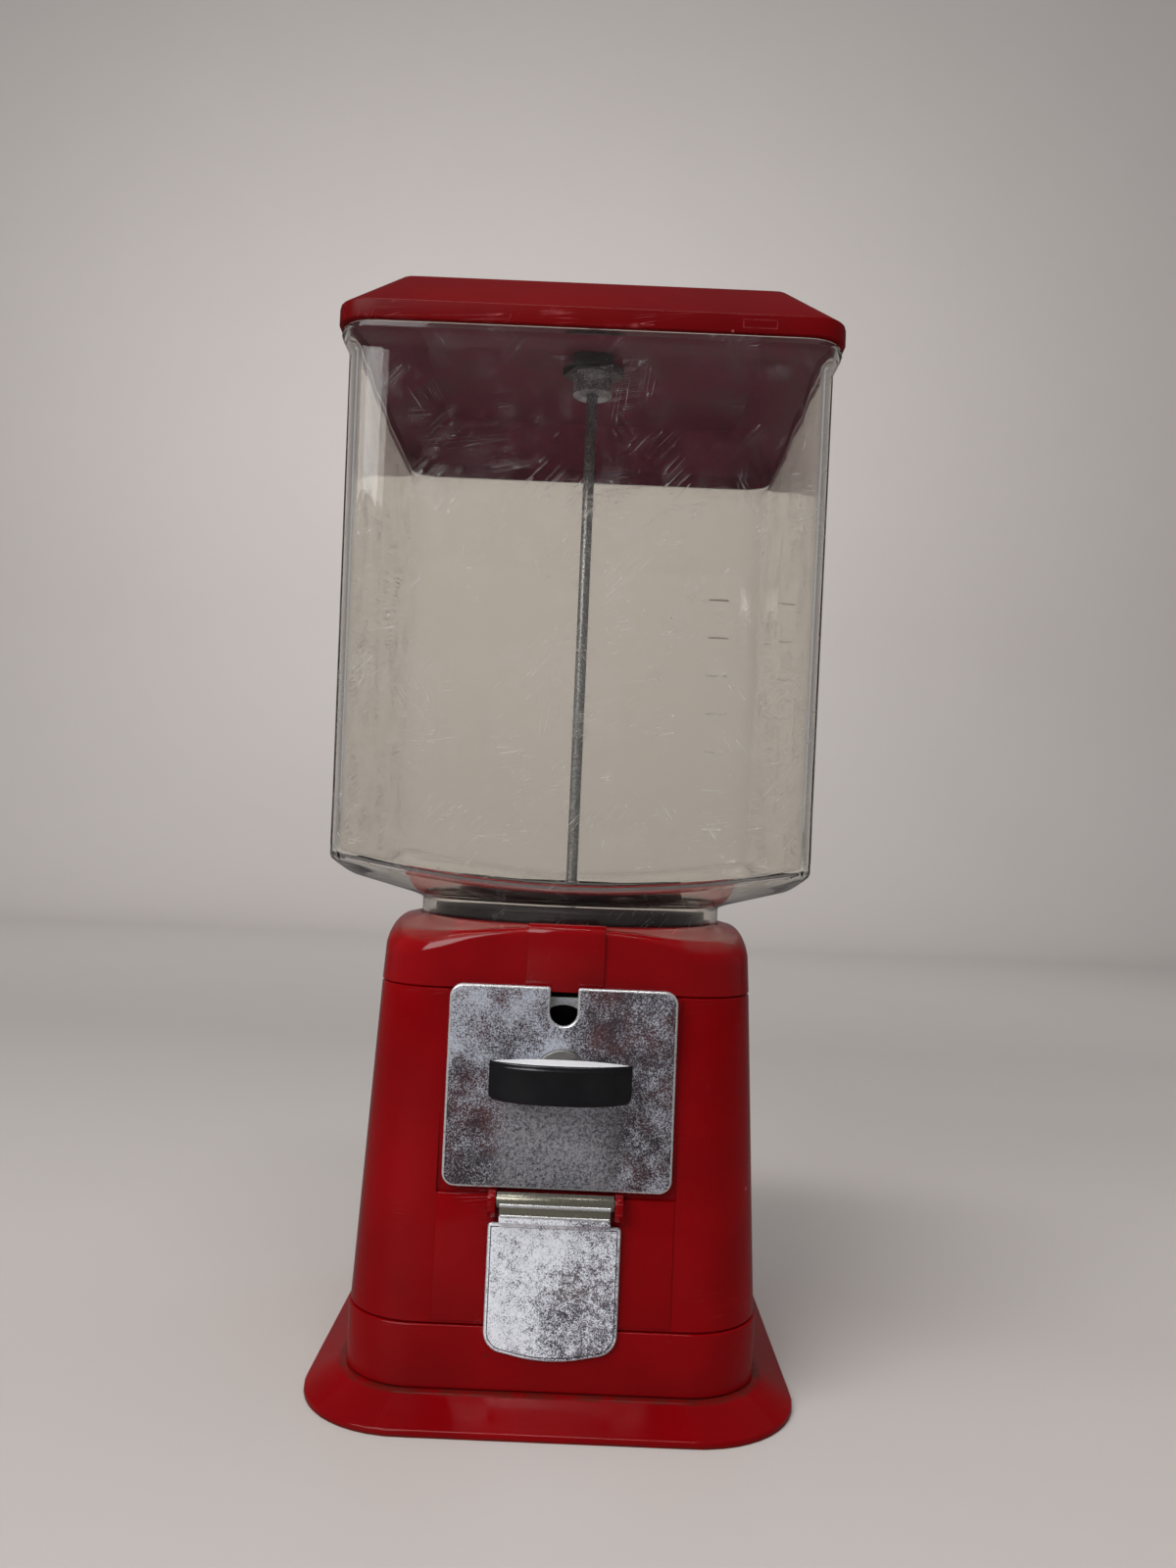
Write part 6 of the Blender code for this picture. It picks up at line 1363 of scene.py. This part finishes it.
stage = {"floor": (0.585, 0.54, 0.51), "shade": (0.55, 0.505, 0.475), "mirrored": (0.14, 0.13, 0.125),
         "roughness": 0.55, "clouds": {"Scale": 3.0, "Detail": 3.0, "Low": 0.3, "High": 0.7}, "cloudShare": 0.25,
         "near": -3.0, "far": 3.0, "bend": 0.9, "bendSteps": 16, "width": 5.0, "height": 3.5}
room = {"colour": (0.95, 0.96, 1.0, 1), "soft": 0.38, "mirrored": 0.11}
photoView = {"place": (0.0056, -0.5364, 0.2166), "pitch": 0.0521, "roll": -0.0423, "sensor": 36.0,
             "focalPixels": 1207.75, "tallPixels": 1600, "nearest": 0.02}


def mirrorShare(tree):
    # 1 for a reflection off the object, 0 for what shows directly or through clear plastic
    path = addNode(tree, "ShaderNodeLightPath").outputs
    return addMath(tree, "MULTIPLY", path["Is Glossy Ray"],
                   addMath(tree, "SUBTRACT", 1.0, path["Is Transmission Ray"]))


def makeStage():
    look = Look("paleFloor", stage["floor"], stage["roughness"])
    clouds = look.mask("blotches", **stage["clouds"])
    colour = look.blend(look.math("MULTIPLY", clouds, stage["cloudShare"]), stage["floor"], stage["shade"])
    look.drive("Base Color", look.blend(mirrorShare(look.tree), colour, stage["mirrored"]))
    far, bend, steps = stage["far"], stage["bend"], stage["bendSteps"]
    points = [(stage["near"], 0.0), (far - bend, 0.0)]
    for i in range(1, steps + 1):
        t = math.radians(90 * i / steps)
        points.append((far - bend + bend * math.sin(t), bend * (1 - math.cos(t))))
    points.append((far, stage["height"]))
    bm = bmesh.new()
    rows = [[bm.verts.new((x, y, z)) for x in (-stage["width"], stage["width"])] for y, z in points]
    for a, b in zip(rows, rows[1:]):
        bm.faces.new((a[0], a[1], b[1], b[0]))
    mesh = bpy.data.meshes.new("floorAndBackdrop")
    bm.to_mesh(mesh)
    bm.free()
    made = newPiece("floorAndBackdrop", mesh, look.material)
    mesh.shade_smooth()


def addLamp(name, place, target, size, power, mirrored=True):
    lamp = bpy.data.lights.new(name, "AREA")
    lamp.shape = "RECTANGLE"
    lamp.size, lamp.size_y = size
    lamp.energy = power
    made = bpy.data.objects.new(name, lamp)
    made.location = place
    made.rotation_euler = (Vector(target) - Vector(place)).to_track_quat("-Z", "Y").to_euler()
    made.visible_glossy = made.visible_transmission = mirrored
    sceneLink(made)


lamps = {"keySoftbox": {"place": (-1.1, -1.5, 1.35), "target": (0, 0, 0.22), "size": (1.5, 1.1), "power": 27},
         "topSoftbox": {"place": (-0.2, -0.55, 1.9), "target": (0, 0, 0.2), "size": (1.3, 0.22), "power": 11},
         "rimSoftbox": {"place": (1.6, 0.5, 0.9), "target": (0, 0, 0.25), "size": (1.4, 1.4), "power": 3.5,
                        "mirrored": False},
         "backdropWash": {"place": (-0.4, 1.0, 1.75), "target": (-0.4, 3.0, 1.5), "size": (3.0, 0.6), "power": 26}}


def makeLight():
    world = bpy.data.worlds.new("studio")
    bpy.context.scene.world = world
    world.use_nodes = True
    sky = world.node_tree.nodes["Background"].inputs
    sky["Color"].default_value = room["colour"]
    # Reflections see a darker room than soft light and clear plastic do
    level = addNode(world.node_tree, "ShaderNodeMapRange", Value=mirrorShare(world.node_tree), To_Min=room["soft"],
                    To_Max=room["mirrored"])
    world.node_tree.links.new(level.outputs["Result"], sky["Strength"])
    for name, lamp in lamps.items():
        addLamp(name, **lamp)


def makeCamera():
    v = photoView
    camera = bpy.data.cameras.new("photoCamera")
    camera.sensor_width = v["sensor"]
    camera.lens = v["focalPixels"] / v["tallPixels"] * v["sensor"]
    camera.clip_start = v["nearest"]
    made = bpy.data.objects.new("photoCamera", camera)
    cp, sp, cr, sr = math.cos(v["pitch"]), math.sin(v["pitch"]), math.cos(v["roll"]), math.sin(v["roll"])
    tilt = Matrix(((1, 0, 0), (0, cp, -sp), (0, sp, cp)))
    lean = Matrix(((cr, 0, sr), (0, 1, 0), (-sr, 0, cr)))
    right, forward, up = (tilt @ lean).col
    turn = Matrix((right, up, -forward)).transposed()
    made.matrix_world = Matrix.Translation(v["place"]) @ turn.to_4x4()
    sceneLink(made)
    bpy.context.scene.camera = made


makeStage()
makeLight()
makeCamera()
bpy.context.scene.view_settings.view_transform = "Standard"
print("stage ready")
